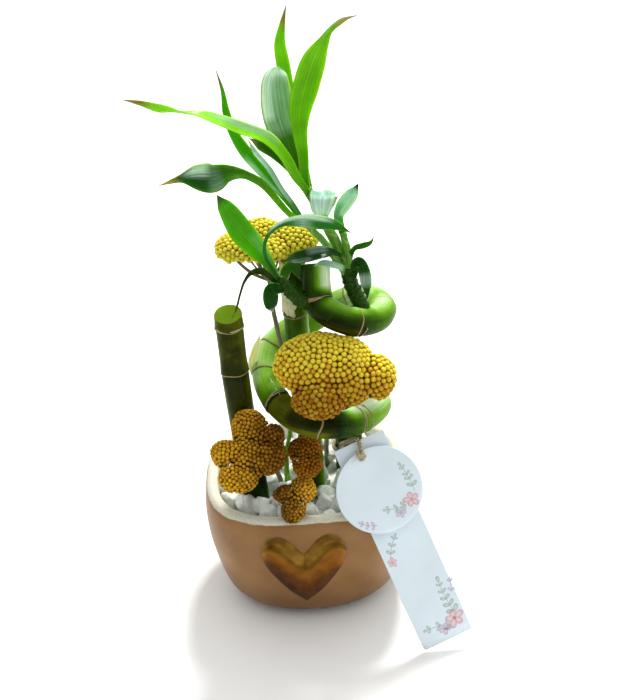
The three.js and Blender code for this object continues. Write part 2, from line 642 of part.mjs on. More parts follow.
// Twine: a loop round the spiral cane, knotted, with one strand through both tags
const loopRadius = SPIRAL_CANE_RADIUS + GAP + TWINE_RADIUS;
const knotPlace = [30, 7 - loopRadius, TWINE_HEIGHT];
const twineKnots = [
  new THREE.IcosahedronGeometry(2, 0).translate(...knotPlace),
  new THREE.IcosahedronGeometry(2.6, 0).translate(34, -46.2, 119),
];
const twinePaths = [
  [[30, -1, 94], [31, -12, 97], [32, -26, 107], [33.2, -37, 115.5], [33.5, -40.5, 117.3], [34, -46, 119]],
  [[30, -1, 94], [33, -6, 91], [37, -9, 88]],
  [[30, -1, 94], [26, -6, 92], [24, -10, 90]],
];
const twineStrands = twinePaths.map((points) => {
  return tube(curveThrough(points), taperSections(TWINE_RADIUS, TWINE_RADIUS, points.length * 2), 5);
});
const twineLoop = new THREE.TorusGeometry(loopRadius, TWINE_RADIUS, 5, 18).translate(28.4, 8, TWINE_HEIGHT);
add('twine', outerSkin(joined([twineLoop, ...twineKnots, ...twineStrands].map(solidOf))), '#8a7a5c', 0.9);

export default part;
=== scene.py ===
# Lucky bamboo and dried yarrow in a heart pot, with two paper tags tied on.
# Lengths are millimetres, turned to metres only where a mesh, a lamp or the camera is made.
import math

import bpy
import numpy as np
from mathutils import Matrix, Vector


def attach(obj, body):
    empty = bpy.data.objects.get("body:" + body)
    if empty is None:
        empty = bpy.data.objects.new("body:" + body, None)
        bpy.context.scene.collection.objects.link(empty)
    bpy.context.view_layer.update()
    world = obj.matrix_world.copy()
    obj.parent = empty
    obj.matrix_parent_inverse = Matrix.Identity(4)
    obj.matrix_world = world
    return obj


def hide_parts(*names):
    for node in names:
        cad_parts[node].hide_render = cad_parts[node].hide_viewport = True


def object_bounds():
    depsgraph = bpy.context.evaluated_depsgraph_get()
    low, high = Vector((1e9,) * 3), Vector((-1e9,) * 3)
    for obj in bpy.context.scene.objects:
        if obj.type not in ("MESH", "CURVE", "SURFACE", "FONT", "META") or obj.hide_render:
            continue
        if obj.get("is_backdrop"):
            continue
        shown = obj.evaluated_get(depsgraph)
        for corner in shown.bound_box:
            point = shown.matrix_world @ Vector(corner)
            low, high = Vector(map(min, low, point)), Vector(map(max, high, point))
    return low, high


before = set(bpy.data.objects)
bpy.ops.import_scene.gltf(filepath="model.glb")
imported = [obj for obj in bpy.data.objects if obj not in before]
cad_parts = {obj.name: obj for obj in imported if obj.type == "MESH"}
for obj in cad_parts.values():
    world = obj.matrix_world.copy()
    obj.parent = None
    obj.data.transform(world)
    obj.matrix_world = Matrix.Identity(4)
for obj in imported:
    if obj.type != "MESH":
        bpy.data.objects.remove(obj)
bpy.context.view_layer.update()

# The view: a long lens, held well above the pot and rolled a few degrees, that looks down on a
# pale table under soft daylight from behind and a little to the right.
MM = 0.001
EYE = (0, -695.8, 565.3)
LOOKS_DOWN, LOOKS_RIGHT, ROLL = np.radians([29.62, 0.98, 3.32])
FOCAL_PIXELS, PICTURE_HEIGHT, SENSOR = 1308, 700, 36


def unit(vectors):
    """Vectors drawn out or in to a length of one."""
    return vectors / np.linalg.norm(vectors, axis=-1, keepdims=True)


forward = np.array([
    math.sin(LOOKS_RIGHT) * math.cos(LOOKS_DOWN),
    math.cos(LOOKS_RIGHT) * math.cos(LOOKS_DOWN),
    -math.sin(LOOKS_DOWN),
])
level = unit(np.cross(forward, [0, 0, 1]))
upright = np.cross(level, forward)
camera_right = math.cos(ROLL) * level - math.sin(ROLL) * upright
camera_up = math.cos(ROLL) * upright + math.sin(ROLL) * level

camera = bpy.data.objects.new("camera", bpy.data.cameras.new("camera"))
camera.data.lens = FOCAL_PIXELS / PICTURE_HEIGHT * SENSOR
camera.data.sensor_width = SENSOR
camera.data.clip_start, camera.data.clip_end = 0.05, 20
turned = Matrix(np.column_stack([camera_right, camera_up, -forward]).tolist()).to_4x4()
camera.matrix_world = Matrix.Translation(Vector(EYE) * MM) @ turned
bpy.context.scene.collection.objects.link(camera)
bpy.context.scene.camera = camera
bpy.context.scene.view_settings.view_transform = "Standard"


def linear(code):
    """An sRGB hex colour as linear red, green, blue and a full alpha."""
    shares = [int(code[i:i + 2], 16) / 255 for i in (1, 3, 5)]
    return [s / 12.92 if s <= 0.04045 else ((s + 0.055) / 1.055) ** 2.4 for s in shares] + [1.0]


def wire(tree, node, inputs):
    """Set a node's inputs: a node or a socket is linked, anything else is the input's own value."""
    for name, value in inputs.items():
        if isinstance(value, bpy.types.Node):
            value = value.outputs[0]
        if isinstance(value, bpy.types.NodeSocket):
            tree.links.new(value, node.inputs[name])
        else:
            node.inputs[name].default_value = value


def add_node(tree, kind, inputs=None, stops=None, **settings):
    """Add a node with its settings, inputs and, on a colour ramp, its stops of (place, hex colour)."""
    node = tree.nodes.new("ShaderNode" + kind)
    for name, value in settings.items():
        setattr(node, name, value)
    for i, (place, colour) in enumerate(stops or []):
        element = node.color_ramp.elements[i] if i < 2 else node.color_ramp.elements.new(place)
        element.position, element.color = place, linear(colour)
    wire(tree, node, inputs or {})
    return node


def new_finish(name):
    """A new material, its node tree and its surface shader."""
    material = bpy.data.materials.new(name)
    material.use_nodes = True
    return material, material.node_tree, material.node_tree.nodes["Principled BSDF"]


# Daylight: bright above and behind, dim in front and low down
SKY, SHADE = "#ffffff", "#565855"
SKY_SIDE = Vector((0.25, 0.5, 0.82)).normalized()
SKY_STRENGTH = 1.2
world = bpy.data.worlds.new("daylight")
world.use_nodes = True
bpy.context.scene.world = world
sky = world.node_tree
direction = add_node(sky, "TexCoord").outputs["Generated"]
height = add_node(sky, "VectorMath", {0: direction, 1: SKY_SIDE}, operation="DOT_PRODUCT").outputs["Value"]
share = add_node(sky, "MapRange", {"Value": height, "From Min": -0.55, "From Max": 0.75})
glow = add_node(sky, "ValToRGB", {"Fac": share}, stops=[(0, SHADE), (1, SKY)])
wire(sky, sky.nodes["Background"], {"Color": glow, "Strength": SKY_STRENGTH})


def soft_light(name, place, aim, size, watts):
    """A square soft box at place, turned to face aim."""
    lamp = bpy.data.objects.new(name, bpy.data.lights.new(name, "AREA"))
    lamp.data.size, lamp.data.energy = size * MM, watts
    lamp.location = Vector(place) * MM
    lamp.rotation_euler = (Vector(aim) - Vector(place)).to_track_quat("-Z", "Y").to_euler()
    bpy.context.scene.collection.objects.link(lamp)


WINDOW_PLACE, WINDOW_AIM, WINDOW_SIZE, WINDOW_WATTS = (260, 760, 1250), (0, 0, 180), 280, 24
soft_light("window", WINDOW_PLACE, WINDOW_AIM, WINDOW_SIZE, WINDOW_WATTS)

table_mesh = bpy.data.meshes.new("table")
TABLE_HALF = 6000
corners = [(x * TABLE_HALF * MM, y * TABLE_HALF * MM, 0) for x, y in ((-1, -1), (1, -1), (1, 1), (-1, 1))]
table_mesh.from_pydata(corners, [], [(0, 1, 2, 3)])
table = bpy.data.objects.new("table", table_mesh)
bpy.context.scene.collection.objects.link(table)
# Matt white lacquer: soft shadows and hardly any reflection
matt_white, tree, surface = new_finish("matt_white")
wire(tree, surface, {"Base Color": linear("#f6f6f4"), "Roughness": 0.9, "Specular IOR Level": 0.2})
table_mesh.materials.append(matt_white)
table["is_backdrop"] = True

# Pot: a slip-cast stoneware bowl, rounded square in plan, dipped in a tan satin glaze up to just under
# the lip. The lip and the inside are bare cream clay.
POT_HALF_WIDTH, POT_DEPTH_RATIO, POT_HEIGHT, POT_WALL = 66, 0.9, 84.5, 6.5
POT_CORNER, FOOT_CORNER = 2.9, 2.2
# The outside as (share of the height, share of the half width)
POT_OUTLINE = [(0, 0.6), (0.02, 0.68), (0.06, 0.77), (0.12, 0.845), (0.25, 0.905), (0.45, 0.955),
               (0.65, 0.99), (0.82, 1), (0.93, 0.985)]
LIP_HALF = POT_HALF_WIDTH * 0.96
MOUTH_HALF = LIP_HALF - POT_WALL
GLAZE_TOP = 81.3
POT_SECTION_STEP = 0.9


def lengths(path):
    """How far along the path each of its points is."""
    return np.concatenate([[0], np.cumsum(np.linalg.norm(np.diff(path, axis=0), axis=1))])


def spline(points, count=None, step=1.0, place=3):
    """A centripetal Catmull-Rom curve: each span is the cubic whose end slopes come from its neighbours,
    with knots at the square roots of the distances. Gives count even places, or one every step; columns
    past place, such as a width, are carried along."""
    points = np.asarray(points, float)
    ends = 2 * points[[0, -1]] - points[[1, -2]]
    p = np.vstack([ends[:1], points, ends[1:]])
    knot = np.sqrt(np.linalg.norm(np.diff(p[:, :place], axis=0), axis=1))[:, None]
    a, b, c = knot[:-2], knot[1:-1], knot[2:]
    p0, p1, p2, p3 = p[:-3], p[1:-2], p[2:-1], p[3:]
    out = ((p1 - p0) / a - (p2 - p0) / (a + b) + (p2 - p1) / b) * b
    into = ((p2 - p1) / b - (p3 - p1) / (b + c) + (p3 - p2) / c) * b
    square, cube = 3 * (p2 - p1) - 2 * out - into, 2 * (p1 - p2) + out + into

    def at(t):
        i = np.minimum(t.astype(int), len(points) - 2)
        w = (t - i)[:, None]
        return p1[i] + out[i] * w + square[i] * w**2 + cube[i] * w**3

    t = np.linspace(0, len(points) - 1, 60 * len(points))
    length = lengths(at(t)[:, :place])
    count = count or int(length[-1] / step) + 2
    return at(np.interp(np.linspace(0, length[-1], count), length, t))


def ring_faces(rings, sides, capped=True):
    """Faces of a skin over rings of points, each ring joined to the next and closed on itself, with a
    flat face on the first and last ring."""
    r, s = np.arange(rings - 1)[:, None], np.arange(sides)[None, :]
    after = (s + 1) % sides
    cells = np.stack([r * sides + s, r * sides + after, (r + 1) * sides + after, (r + 1) * sides + s], -1)
    last = (rings - 1) * sides
    ends = [list(range(sides))[::-1], list(range(last, last + sides))] if capped else []
    return cells.reshape(-1, 4).tolist() + ends


def closed_skin(points, **values):
    """A part of a piece: rings of points joined to a closed skin, with the values that it carries."""
    return points, ring_faces(*points.shape[:2]), values


def add_piece(name, parts, material, replaced=()):
    """Join closed parts, each (points in mm, faces, {attribute: values}), into one piece that rides on the
    pot's body. Attributes of three values are vectors, of four colours, and of one plain numbers."""
    start, points, faces = 0, [], []
    for part_points, part_faces, _ in parts:
        points.append(np.asarray(part_points, float).reshape(-1, 3))
        faces.extend([[corner + start for corner in face] for face in part_faces])
        start += len(points[-1])
    mesh = bpy.data.meshes.new(name)
    mesh.from_pydata((np.vstack(points) * MM).tolist(), [], faces)
    for key in parts[0][2]:
        values = np.concatenate([np.asarray(part[2][key], float).reshape(len(p), -1)
                                 for part, p in zip(parts, points)])
        kind, field = {1: ("FLOAT", "value"), 3: ("FLOAT_VECTOR", "vector"),
                       4: ("FLOAT_COLOR", "color")}[values.shape[1]]
        mesh.attributes.new(key, kind, "POINT").data.foreach_set(field, values.ravel())
    mesh.polygons.foreach_set("use_smooth", [True] * len(mesh.polygons))
    mesh.materials.append(material)
    made = bpy.data.objects.new(name, mesh)
    bpy.context.scene.collection.objects.link(made)
    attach(made, "root")
    if replaced:
        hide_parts(*replaced)


def pot_corner(z):
    """The plan's squareness grows from the foot to just over half the height."""
    return FOOT_CORNER + (POT_CORNER - FOOT_CORNER) * np.minimum(1, z / (0.6 * POT_HEIGHT))


def ring_angles(sides):
    """Even angles once round."""
    return np.arange(sides) / sides * 2 * np.pi


def pot_plan(half, z, corner, sides=200):
    """Rings of a rounded square: x = half |cos a| ^ (2 / corner), and y the same with sin and less deep."""
    a = ring_angles(sides)
    half, z, corner = (np.asarray(v, float)[:, None] for v in (half, z, corner))
    x = half * np.sign(np.cos(a)) * np.abs(np.cos(a)) ** (2 / corner)
    y = half * POT_DEPTH_RATIO * np.sign(np.sin(a)) * np.abs(np.sin(a)) ** (2 / corner)
    return np.stack([x, y, z + 0 * x], -1)


# The section, as (half width, height): the shallow hollow under the foot, the outside, the rounded lip
# and the inside down to the floor
FOOT = [(4, 0.9), (28, 0.9), (32, 0.5), (34, 0.05)]
OUTSIDE = [(w * POT_HALF_WIDTH, h * POT_HEIGHT) for h, w in POT_OUTLINE]
LIP = [(LIP_HALF + 0.5, 81.6), (LIP_HALF - 0.3, 83.3), (LIP_HALF - 2, POT_HEIGHT),
       (MOUTH_HALF + 2, POT_HEIGHT), (MOUTH_HALF + 0.5, 83.4), (MOUTH_HALF, 81.5)]
INSIDE = [(MOUTH_HALF - 1, 60), (MOUTH_HALF - 4, 34), (MOUTH_HALF - 10, 16), (MOUTH_HALF - 20, 9), (4, 9)]
pot_line = spline(np.array(FOOT + OUTSIDE + LIP + INSIDE), step=POT_SECTION_STEP, place=2)
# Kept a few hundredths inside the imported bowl
half, z = np.minimum(pot_line.T, [[POT_HALF_WIDTH - 0.03], [POT_HEIGHT]])
inside_from = int(np.argmax(z)) + 4
corner = np.where(np.arange(len(z)) < inside_from, pot_corner(z), POT_CORNER)
pot_points = pot_plan(half, np.maximum(z, 0.02), corner)
# How far each ring is past the glaze's edge; the inside and the hollow of the foot are bare clay
above_glaze = np.where(np.arange(len(z)) < inside_from, z - GLAZE_TOP, 5)
above_glaze = np.where((z < 1) & (half < 33), 3, above_glaze)

# Satin glaze: a broad soft highlight over a cloudy tan, and dull bare clay past its wavy upper edge
stoneware, tree, surface = new_finish("satin_glazed_stoneware")
place = add_node(tree, "TexCoord").outputs["Object"]
# Slow clouds of thin and thick glaze about 15 mm across, iron specks under 1 mm, and painted shade that
# darkens the glaze towards the foot
clouds = add_node(tree, "TexNoise", {"Vector": place, "Scale": 38, "Detail": 3})
glaze = add_node(tree, "ValToRGB", {"Fac": clouds}, stops=[(0.3, "#865f35"), (0.7, "#9a7143")])
height = add_node(tree, "SeparateXYZ", {0: place}).outputs["Z"]
# Painted shade: the glaze is darkened towards the foot, where the bowl curves under
shade_at_foot = add_node(tree, "MapRange", {"Value": height, "From Min": 0.045, "From Max": 0, "To Max": 0.55})
shade_at_foot.interpolation_type = "SMOOTHSTEP"
glaze = add_node(tree, "Mix", {0: shade_at_foot.outputs[0], 6: glaze, 7: linear("#4e2c0a")},
                 data_type="RGBA").outputs[2]
specks = add_node(tree, "TexNoise", {"Vector": place, "Scale": 900, "Detail": 2})
speck_share = add_node(tree, "MapRange", {
    "Value": specks, "From Min": 0.66, "From Max": 0.74, "To Max": 0.35})
specked = add_node(tree, "Mix", {0: speck_share.outputs[0], 6: glaze, 7: linear("#5d4225")},
                   data_type="RGBA")
grain = add_node(tree, "TexNoise", {"Vector": place, "Scale": 800, "Detail": 3})
clay = add_node(tree, "ValToRGB", {"Fac": grain}, stops=[(0.3, "#c4c1ac"), (0.7, "#d4d2c0")])
edge = add_node(tree, "Attribute", attribute_name="above_glaze").outputs["Fac"]
wobble = add_node(tree, "TexNoise", {"Vector": place, "Scale": 110, "Detail": 2})
wavy = add_node(tree, "MapRange", {"Value": wobble, "To Min": -1, "To Max": 1})
line = add_node(tree, "Math", {0: edge, 1: wavy}, operation="ADD")
bare = add_node(tree, "MapRange", {"Value": line, "From Min": -0.25, "From Max": 0.35})
colour = add_node(tree, "Mix", {0: bare.outputs[0], 6: specked.outputs[2], 7: clay}, data_type="RGBA")
gloss = add_node(tree, "MapRange", {"Value": bare, "To Min": 0.42, "To Max": 0.8})
pits = add_node(tree, "Bump", {"Height": grain, "Strength": 0.06, "Distance": 0.0002})
wire(tree, surface, {
    "Base Color": colour.outputs[2], "Roughness": gloss, "Normal": pits, "IOR": 1.5,
    "Specular IOR Level": 0.22})
bowl = closed_skin(pot_points, above_glaze=np.repeat(above_glaze, pot_points.shape[1]))
add_piece("stoneware_bowl", [bowl], stoneware, ["pot"])

# Heart: a puffed ceramic relief on the pot's front wall, with a V-shaped ridge across both lobes and a
# crease down from the notch. It is brushed with gold-brown metal paint that stops just short of its edge.
HEART_X, HEART_Z, HEART_HALF, HEART_HEIGHT = -5, 51, 26.5, 4.4
HEART_MIDDLE = -3
CREASE_SHARE, CREASE_WIDTH, GROOVE_DEPTH = 0.3, 2.2, 0.35
EDGE_SUNK, BACK_SUNK = 0.25, 1.2
# Half the outline, from the notch over a lobe to the tip, and the ridge: (across, up)
HALF_HEART = [(0, 9.8), (3.6, 13.6), (8.5, 20), (15.2, 23.6), (21.6, 21.6), (25.5, 15.6), (26.5, 8.5),
              (24.2, -0.6), (17.6, -12.4), (9.4, -23.8), (0, -33.5)]
RIDGE = [(0, -2.6), (3, -1.8), (8, 3.4), (12.5, 8.8), (16, 12.4), (20, 14.4), (24, 12.2), (26.5, 8.5)]


def wall_front(x, z):
    """How far forward the pot's outside is at a place on its front."""
    heights, halves = pot_line[:inside_from, 1], pot_line[:inside_from, 0]
    rising = np.maximum.accumulate(heights)
    half = np.interp(z, rising, halves)
    corner = pot_corner(z)
    return -half * POT_DEPTH_RATIO * (1 - (np.abs(x) / half) ** corner) ** (1 / corner)


# Rings of the outline, drawn in from full size almost to a point
HEART_RINGS = 48
shares = 1 - np.linspace(0, 1, HEART_RINGS)[:, None] ** 1.3 * 0.985
half_edge = spline(HALF_HEART, 91, place=2)
edge = np.concatenate([half_edge[:-1] * (-1, 1), half_edge[:0:-1]])
across = edge[:, 0] * shares
rise = HEART_MIDDLE + (edge[:, 1] - HEART_MIDDLE) * shares
widest = int(np.argmax(half_edge[:, 0]))
side = np.minimum(np.abs(across), HEART_HALF)
top = np.interp(side, *half_edge[:widest + 1].T)
low = np.interp(side, *half_edge[:widest - 1:-1].T)
ridge = np.interp(np.abs(across), *spline(RIDGE, 60, place=2).T)
ridge = np.clip(ridge, low + 0.2, top - 0.2)
# Each half of the roof falls from 0 at the ridge to 1 at the outline
fall = np.where(rise > ridge, (rise - ridge) / (top - ridge), (ridge - rise) / (ridge - low))
puff = (1 - np.clip(fall, 0, 1) ** 1.1) ** 0.7 * (1 - (side / HEART_HALF) ** 10) ** 0.5
crease = 1 - CREASE_SHARE * np.exp(-((across / CREASE_WIDTH) ** 2)) * np.clip((rise - ridge) / 6, 0, 1)
groove = GROOVE_DEPTH * np.exp(-(((fall - 0.5) / 0.07) ** 2)) * (rise > ridge)
lift = HEART_HEIGHT * puff * crease - groove * puff
heart_x, heart_z = HEART_X + across, HEART_Z + rise
wall = wall_front(heart_x, heart_z)
heart_y = wall - lift + EDGE_SUNK
heart_back = np.stack([heart_x, wall + BACK_SUNK, heart_z], -1)[::-1][:-1]
heart_points = np.concatenate([heart_back, np.stack([heart_x, heart_y, heart_z], -1)])
# How far in from the outline each place is, which reaches 22 mm from the middle on average
from_edge = np.zeros(heart_points.shape[:2])
from_edge[len(heart_back):] = (1 - shares) * 22
# How far each place lies over (to 1) or under (to -1) the ridge; the paint's colour follows it as painted
# light and shade, and low on the left it is painted browner, as shade
over_ridge = 0 * from_edge
under = (rise - ridge) / 30 + 0.011 * (across - 8) * np.clip((ridge - rise) / 8, 0, 1)
over_ridge[len(heart_back):] = np.clip(np.where(rise > ridge, (rise - ridge) / 5.5, under), -1, 1)

# Metal paint: brushed on by hand, so its glint is drawn out in strokes and it is thin in places
gilding, tree, surface = new_finish("brushed_metal_paint")
place = add_node(tree, "TexCoord").outputs["Object"]
# Brush drag: streaks up to a millimetre wide that run along the lobes
drag = add_node(tree, "Mapping", {"Vector": place, "Rotation": (0, 0.6, 0), "Scale": (900, 900, 160)})
strokes = add_node(tree, "TexNoise", {"Vector": drag, "Scale": 1, "Detail": 3})
worn = add_node(tree, "TexNoise", {"Vector": place, "Scale": 130, "Detail": 3})
over = add_node(tree, "Attribute", attribute_name="over_ridge").outputs["Fac"]
over = add_node(tree, "Math", {0: over, 1: add_node(tree, "MapRange", {
    "Value": worn, "From Min": 0.3, "From Max": 0.7, "To Min": -0.05, "To Max": 0.05})})
# Painted light and shade: olive-gold over the ridge, where the lobes face up, and orange-brown to dark brown
# under it
lit_and_shaded_paint = add_node(tree, "ValToRGB", {"Fac": add_node(tree, "MapRange", {"Value": over, "From Min": -1})},
                   stops=[(0, "#52300a"), (1, "#866428"), (0.22, "#7c4a12"), (0.42, "#a0661e"),
                          (0.49, "#966426"), (0.62, "#76541c"), (0.78, "#6e4e18")])
thin = add_node(tree, "ValToRGB", {"Fac": worn}, stops=[(0.35, "#d8d2c8"), (0.65, "#ffffff")])
metal = add_node(tree, "Mix", {0: 1.0, 6: lit_and_shaded_paint, 7: thin}, data_type="RGBA",
                 blend_type="MULTIPLY").outputs[2]
inwards = add_node(tree, "Attribute", attribute_name="from_edge").outputs["Fac"]
wobble = add_node(tree, "MapRange", {"Value": worn, "To Min": -0.5, "To Max": 0.5})
line = add_node(tree, "Math", {0: inwards, 1: wobble}, operation="ADD")
painted = add_node(tree, "MapRange", {"Value": line, "From Min": 0.25, "From Max": 0.55})
colour = add_node(tree, "Mix", {0: painted.outputs[0], 6: linear("#7d5e38"), 7: metal}, data_type="RGBA")
gloss = add_node(tree, "MapRange", {"Value": strokes, "To Min": 0.34, "To Max": 0.5})
dragged = add_node(tree, "Bump", {"Height": strokes, "Strength": 0.12, "Distance": 0.0003})
wire(tree, surface, {
    "Base Color": colour.outputs[2], "Metallic": painted, "Roughness": gloss, "Normal": dragged})
relief = closed_skin(heart_points, from_edge=from_edge, over_ridge=over_ridge)
add_piece("heart_relief", [relief], gilding, ["heart"])

# Soil: the potting mix under the marble, out of sight, with its plain holes for the stems.
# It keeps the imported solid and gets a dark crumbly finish.
# Peat and bark: crumbs of two to three millimetres, with no shine
potting_mix, tree, surface = new_finish("potting_mix")
place = add_node(tree, "TexCoord").outputs["Object"]
crumbs = add_node(tree, "TexVoronoi", {"Vector": place, "Scale": 420})
colour = add_node(tree, "ValToRGB", {"Fac": crumbs}, stops=[(0, "#4a3524"), (0.6, "#1d140d")])
lumps = add_node(tree, "Bump", {"Height": crumbs, "Strength": 0.8, "Distance": 0.001})
wire(tree, surface, {"Base Color": colour, "Roughness": 0.95, "Normal": lumps})
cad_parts["soil"].data.materials.clear()
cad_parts["soil"].data.materials.append(potting_mix)

# Marble: broken white chips about 14 mm long, tumbled until their edges are soft, heaped loose up to
# the lip round the canes and stems, and partly sunk in each other.
CHIP_HALF, CHIP_FROM_WALL, CHIP_FROM_STEM = 6.3, 5.5, 3.2
TOP_LAYER = 76.5
# The height of a layer's middle, the spacing in it and how often a place is tried
CHIP_LAYERS = ((68, 10.5, 500), (TOP_LAYER, 11.5, 700))
# Each cane's course, from its foot in the soil to its cut top
CANES = {
    "left": [(-31, -19, 30), (-33, -19, 80), (-37, -18, 134), (-39, -17, 169), (-40, -16, 209)],
    "centre": [(6, -8, 30), (4, -8, 80), (3, -6, 138), (0, -3, 186), (0, 0, 232)],
    "spiral": [
        (28, 8, 30), (28, 8, 80), (29, 8, 104), (32, 7, 121), (40, 3, 131), (47, -7, 133), (42, -19, 134),
        (32, -30, 136), (21, -38, 139), (10, -41, 142), (-2, -37, 144), (-12, -27, 147), (-19, -13, 151),
        (-21, 1, 156), (-18, 13, 163), (-8, 22, 170), (10, 27, 177), (23, 29, 184), (36, 28, 189),
        (47, 20, 192), (52, 5, 194), (49, -9, 195), (39, -20, 198), (29, -26, 203), (20, -24, 207),
        (14, -18, 211), (13, -13, 219), (13, -11, 233),
    ],
}
# Canes and stems where they leave the marble: (x, y, radius)
STANDING_AT_LIP = [(-33, -19, 8.3), (4, -8, 7.4), (28, 8, 8.4), (-12, -3, 2), (14, 16, 1.6), (3, 10, 1.6),
                   (-17, -12, 1.6), (1, -22, 1.6), (-10, -30, 1.6)]
# Two chips that are seen to lie against the front of the left cane
CHIPS_BEFORE_CANE = [(-38, -32), (-28, -32)]
rng = np.random.default_rng(11)


def pebble(centre, halves, turn, planes=13, rings=18, sides=26, sharpness=60, ball=0.7):
    """A tumbled stone: the distance out along each direction d is the soft minimum, a sum of powers, of
    the distances to a few random planes and to a ball of radius 1 / ball, so the facets are flat and
    their edges are round."""
    v = np.linspace(0.13, np.pi - 0.13, rings)[::-1, None]
    a = ring_angles(sides)
    d = np.stack([np.sin(v) * np.cos(a), np.sin(v) * np.sin(a), np.cos(v) + 0 * a], -1)
    normals = unit(rng.normal(size=(planes, 3)))
    offsets = rng.uniform(0.68, 0.9, planes)
    facing = np.clip(d @ normals.T / offsets, 0, None) ** sharpness
    out = (facing.sum(-1) + ball**sharpness) ** (-1 / sharpness)
    shaped = d * out[..., None] * np.asarray(halves)
    turned = shaped @ np.array(Matrix.Rotation(turn[0], 3, "X") @ Matrix.Rotation(turn[1], 3, "Y")
                               @ Matrix.Rotation(turn[2], 3, "Z"))
    return turned + centre


def inside_mouth(x, y, margin):
    """True where a place on the bed is at least margin from the bowl's inner wall."""
    reach = MOUTH_HALF - margin
    return (np.abs(x) / reach) ** POT_CORNER + (np.abs(y) / (reach - 4)) ** POT_CORNER < 1


chips = []
for level_z, spacing, tries in CHIP_LAYERS:
    layer = []
    for _ in range(tries):
        x, y = rng.uniform(-56, 56), rng.uniform(-50, 50)
        clear = all(math.hypot(x - sx, y - sy) > sr + CHIP_FROM_STEM for sx, sy, sr in STANDING_AT_LIP)
        apart = all(math.hypot(x - px, y - py) > spacing * 0.82 for px, py in layer)
        if clear and apart and inside_mouth(x, y, CHIP_FROM_WALL):
            layer.append((x, y))
    if level_z == TOP_LAYER:
        layer += CHIPS_BEFORE_CANE
    for x, y in layer:
        halves = CHIP_HALF * rng.uniform(0.82, 1.22, 3) * (1.1, 0.95, 0.85)
        z = level_z + rng.uniform(-1, 2.8)
        stone = pebble((x, y, z), halves, rng.uniform(0, 6.28, 3))
        shade = rng.uniform(0, 1)
        chips.append(closed_skin(stone, shade=np.full(stone.shape[:2], shade)))

# The heap under the chips that show, as one bumpy slab inside the bowl
slab_half = np.array([4, 20, 40, 52, 53.5, 52.5, 45, 36, 28, 20, 12, 4])
slab_z = np.array([57, 57, 57, 58, 62, 69, 70, 70, 70, 70, 70, 70.0])
slab = pot_plan(slab_half, slab_z, np.full(len(slab_z), POT_CORNER), sides=96)
chips.append(closed_skin(slab, shade=np.full(slab.shape[:2], 0.2)))

# Tumbled marble: white, a little deep under the surface, and dull from its rubbed faces
marble, tree, surface = new_finish("tumbled_marble")
place = add_node(tree, "TexCoord").outputs["Object"]
# Grey veins a millimetre wide wander through each chip; the broken faces are sugary to the touch
warp = add_node(tree, "TexNoise", {"Vector": place, "Scale": 90, "Detail": 5, "Distortion": 1.2})
veins = add_node(tree, "ValToRGB", {"Fac": warp},
                 stops=[(0.42, "#fafcfa"), (0.56, "#f2f6f2"), (0.5, "#dde3dc")])
shade = add_node(tree, "Attribute", attribute_name="shade").outputs["Fac"]
own = add_node(tree, "ValToRGB", {"Fac": shade}, stops=[(0, "#f0f0e8"), (1, "#ffffff")])
colour = add_node(tree, "Mix", {0: 1.0, 6: veins, 7: own}, data_type="RGBA", blend_type="MULTIPLY")
sugar = add_node(tree, "TexNoise", {"Vector": place, "Scale": 700, "Detail": 3})
rough = add_node(tree, "Bump", {"Height": sugar, "Strength": 0.25, "Distance": 0.0004})
wire(tree, surface, {
    "Base Color": colour.outputs[2], "Roughness": 0.55, "Normal": rough, "Subsurface Weight": 0.2,
    "Subsurface Radius": (1, 1, 0.9), "Subsurface Scale": 0.002})
add_piece("marble_chips", chips, marble, ["pebbles"])

# Canes: living dracaena stems sold as lucky bamboo, two cut straight and one trained round twice. The skin
# is glossy, green and finely streaked lengthwise; every node is a thin scar with a slight swelling above.
CANE_RADIUS = {"left": 8.3, "centre": 7.4, "spiral": 8.4}
# A distance from the nearest node at which it no longer shows
NO_NODE = 30.0
CANE_NODES = {"left": [0.775, 0.955], "centre": [0.32, 0.6, 0.83],
              "spiral": [0.13, 0.331, 0.343, 0.405, 0.482, 0.537, 0.585, 0.72, 0.806, 0.884, 0.95]}
# Degrees that the saw cut falls towards the front, or towards the back where less than nothing
CUT_SLANT = {"left": 15, "centre": 5, "spiral": -22}
# The cut's rings as (share of the radius, height over the edge): a raised rim round a slight hollow
CUT_RINGS = ((0.985, 0.2), (0.95, 0.25), (0.86, 0.1), (0.6, -0.15), (0.3, -0.2), (0.04, -0.2))
# Painted light along each cane, as (place from foot to top, tone): -0.5 olive, 0 deep green in shade,
# 1 bright green in light, 2 a near-white painted highlight
CANE_LIT_TONE = {
    "left": [(0, 0.3), (0.25, 0.2), (0.5, -0.26), (0.72, -0.22), (0.768, -0.12), (0.782, -0.12),
             (0.82, -0.24), (0.95, -0.28), (1, -0.36)],
    "centre": [(0, 0.12), (0.4, 0.28), (0.7, 0.42), (0.85, 0.42), (1, 0.3)],
    "spiral": [(0, 0.12), (0.2, 0.28), (0.26, 1), (0.31, 0.95), (0.335, 0.7), (0.36, 0.3), (0.385, 0),
               (0.44, -0.22), (0.45, -0.42), (0.474, -0.45), (0.481, 0.5), (0.5, 0.9), (0.543, 1.1),
               (0.6, 1.1), (0.64, 0.85), (0.69, 0.9), (0.73, 1.4), (0.77, 1.3), (0.8, 0.8), (0.83, 0.55),
               (0.855, 0.35), (0.885, 0.14), (0.935, 0.12), (0.957, 0.12), (1, 0.22)],
}
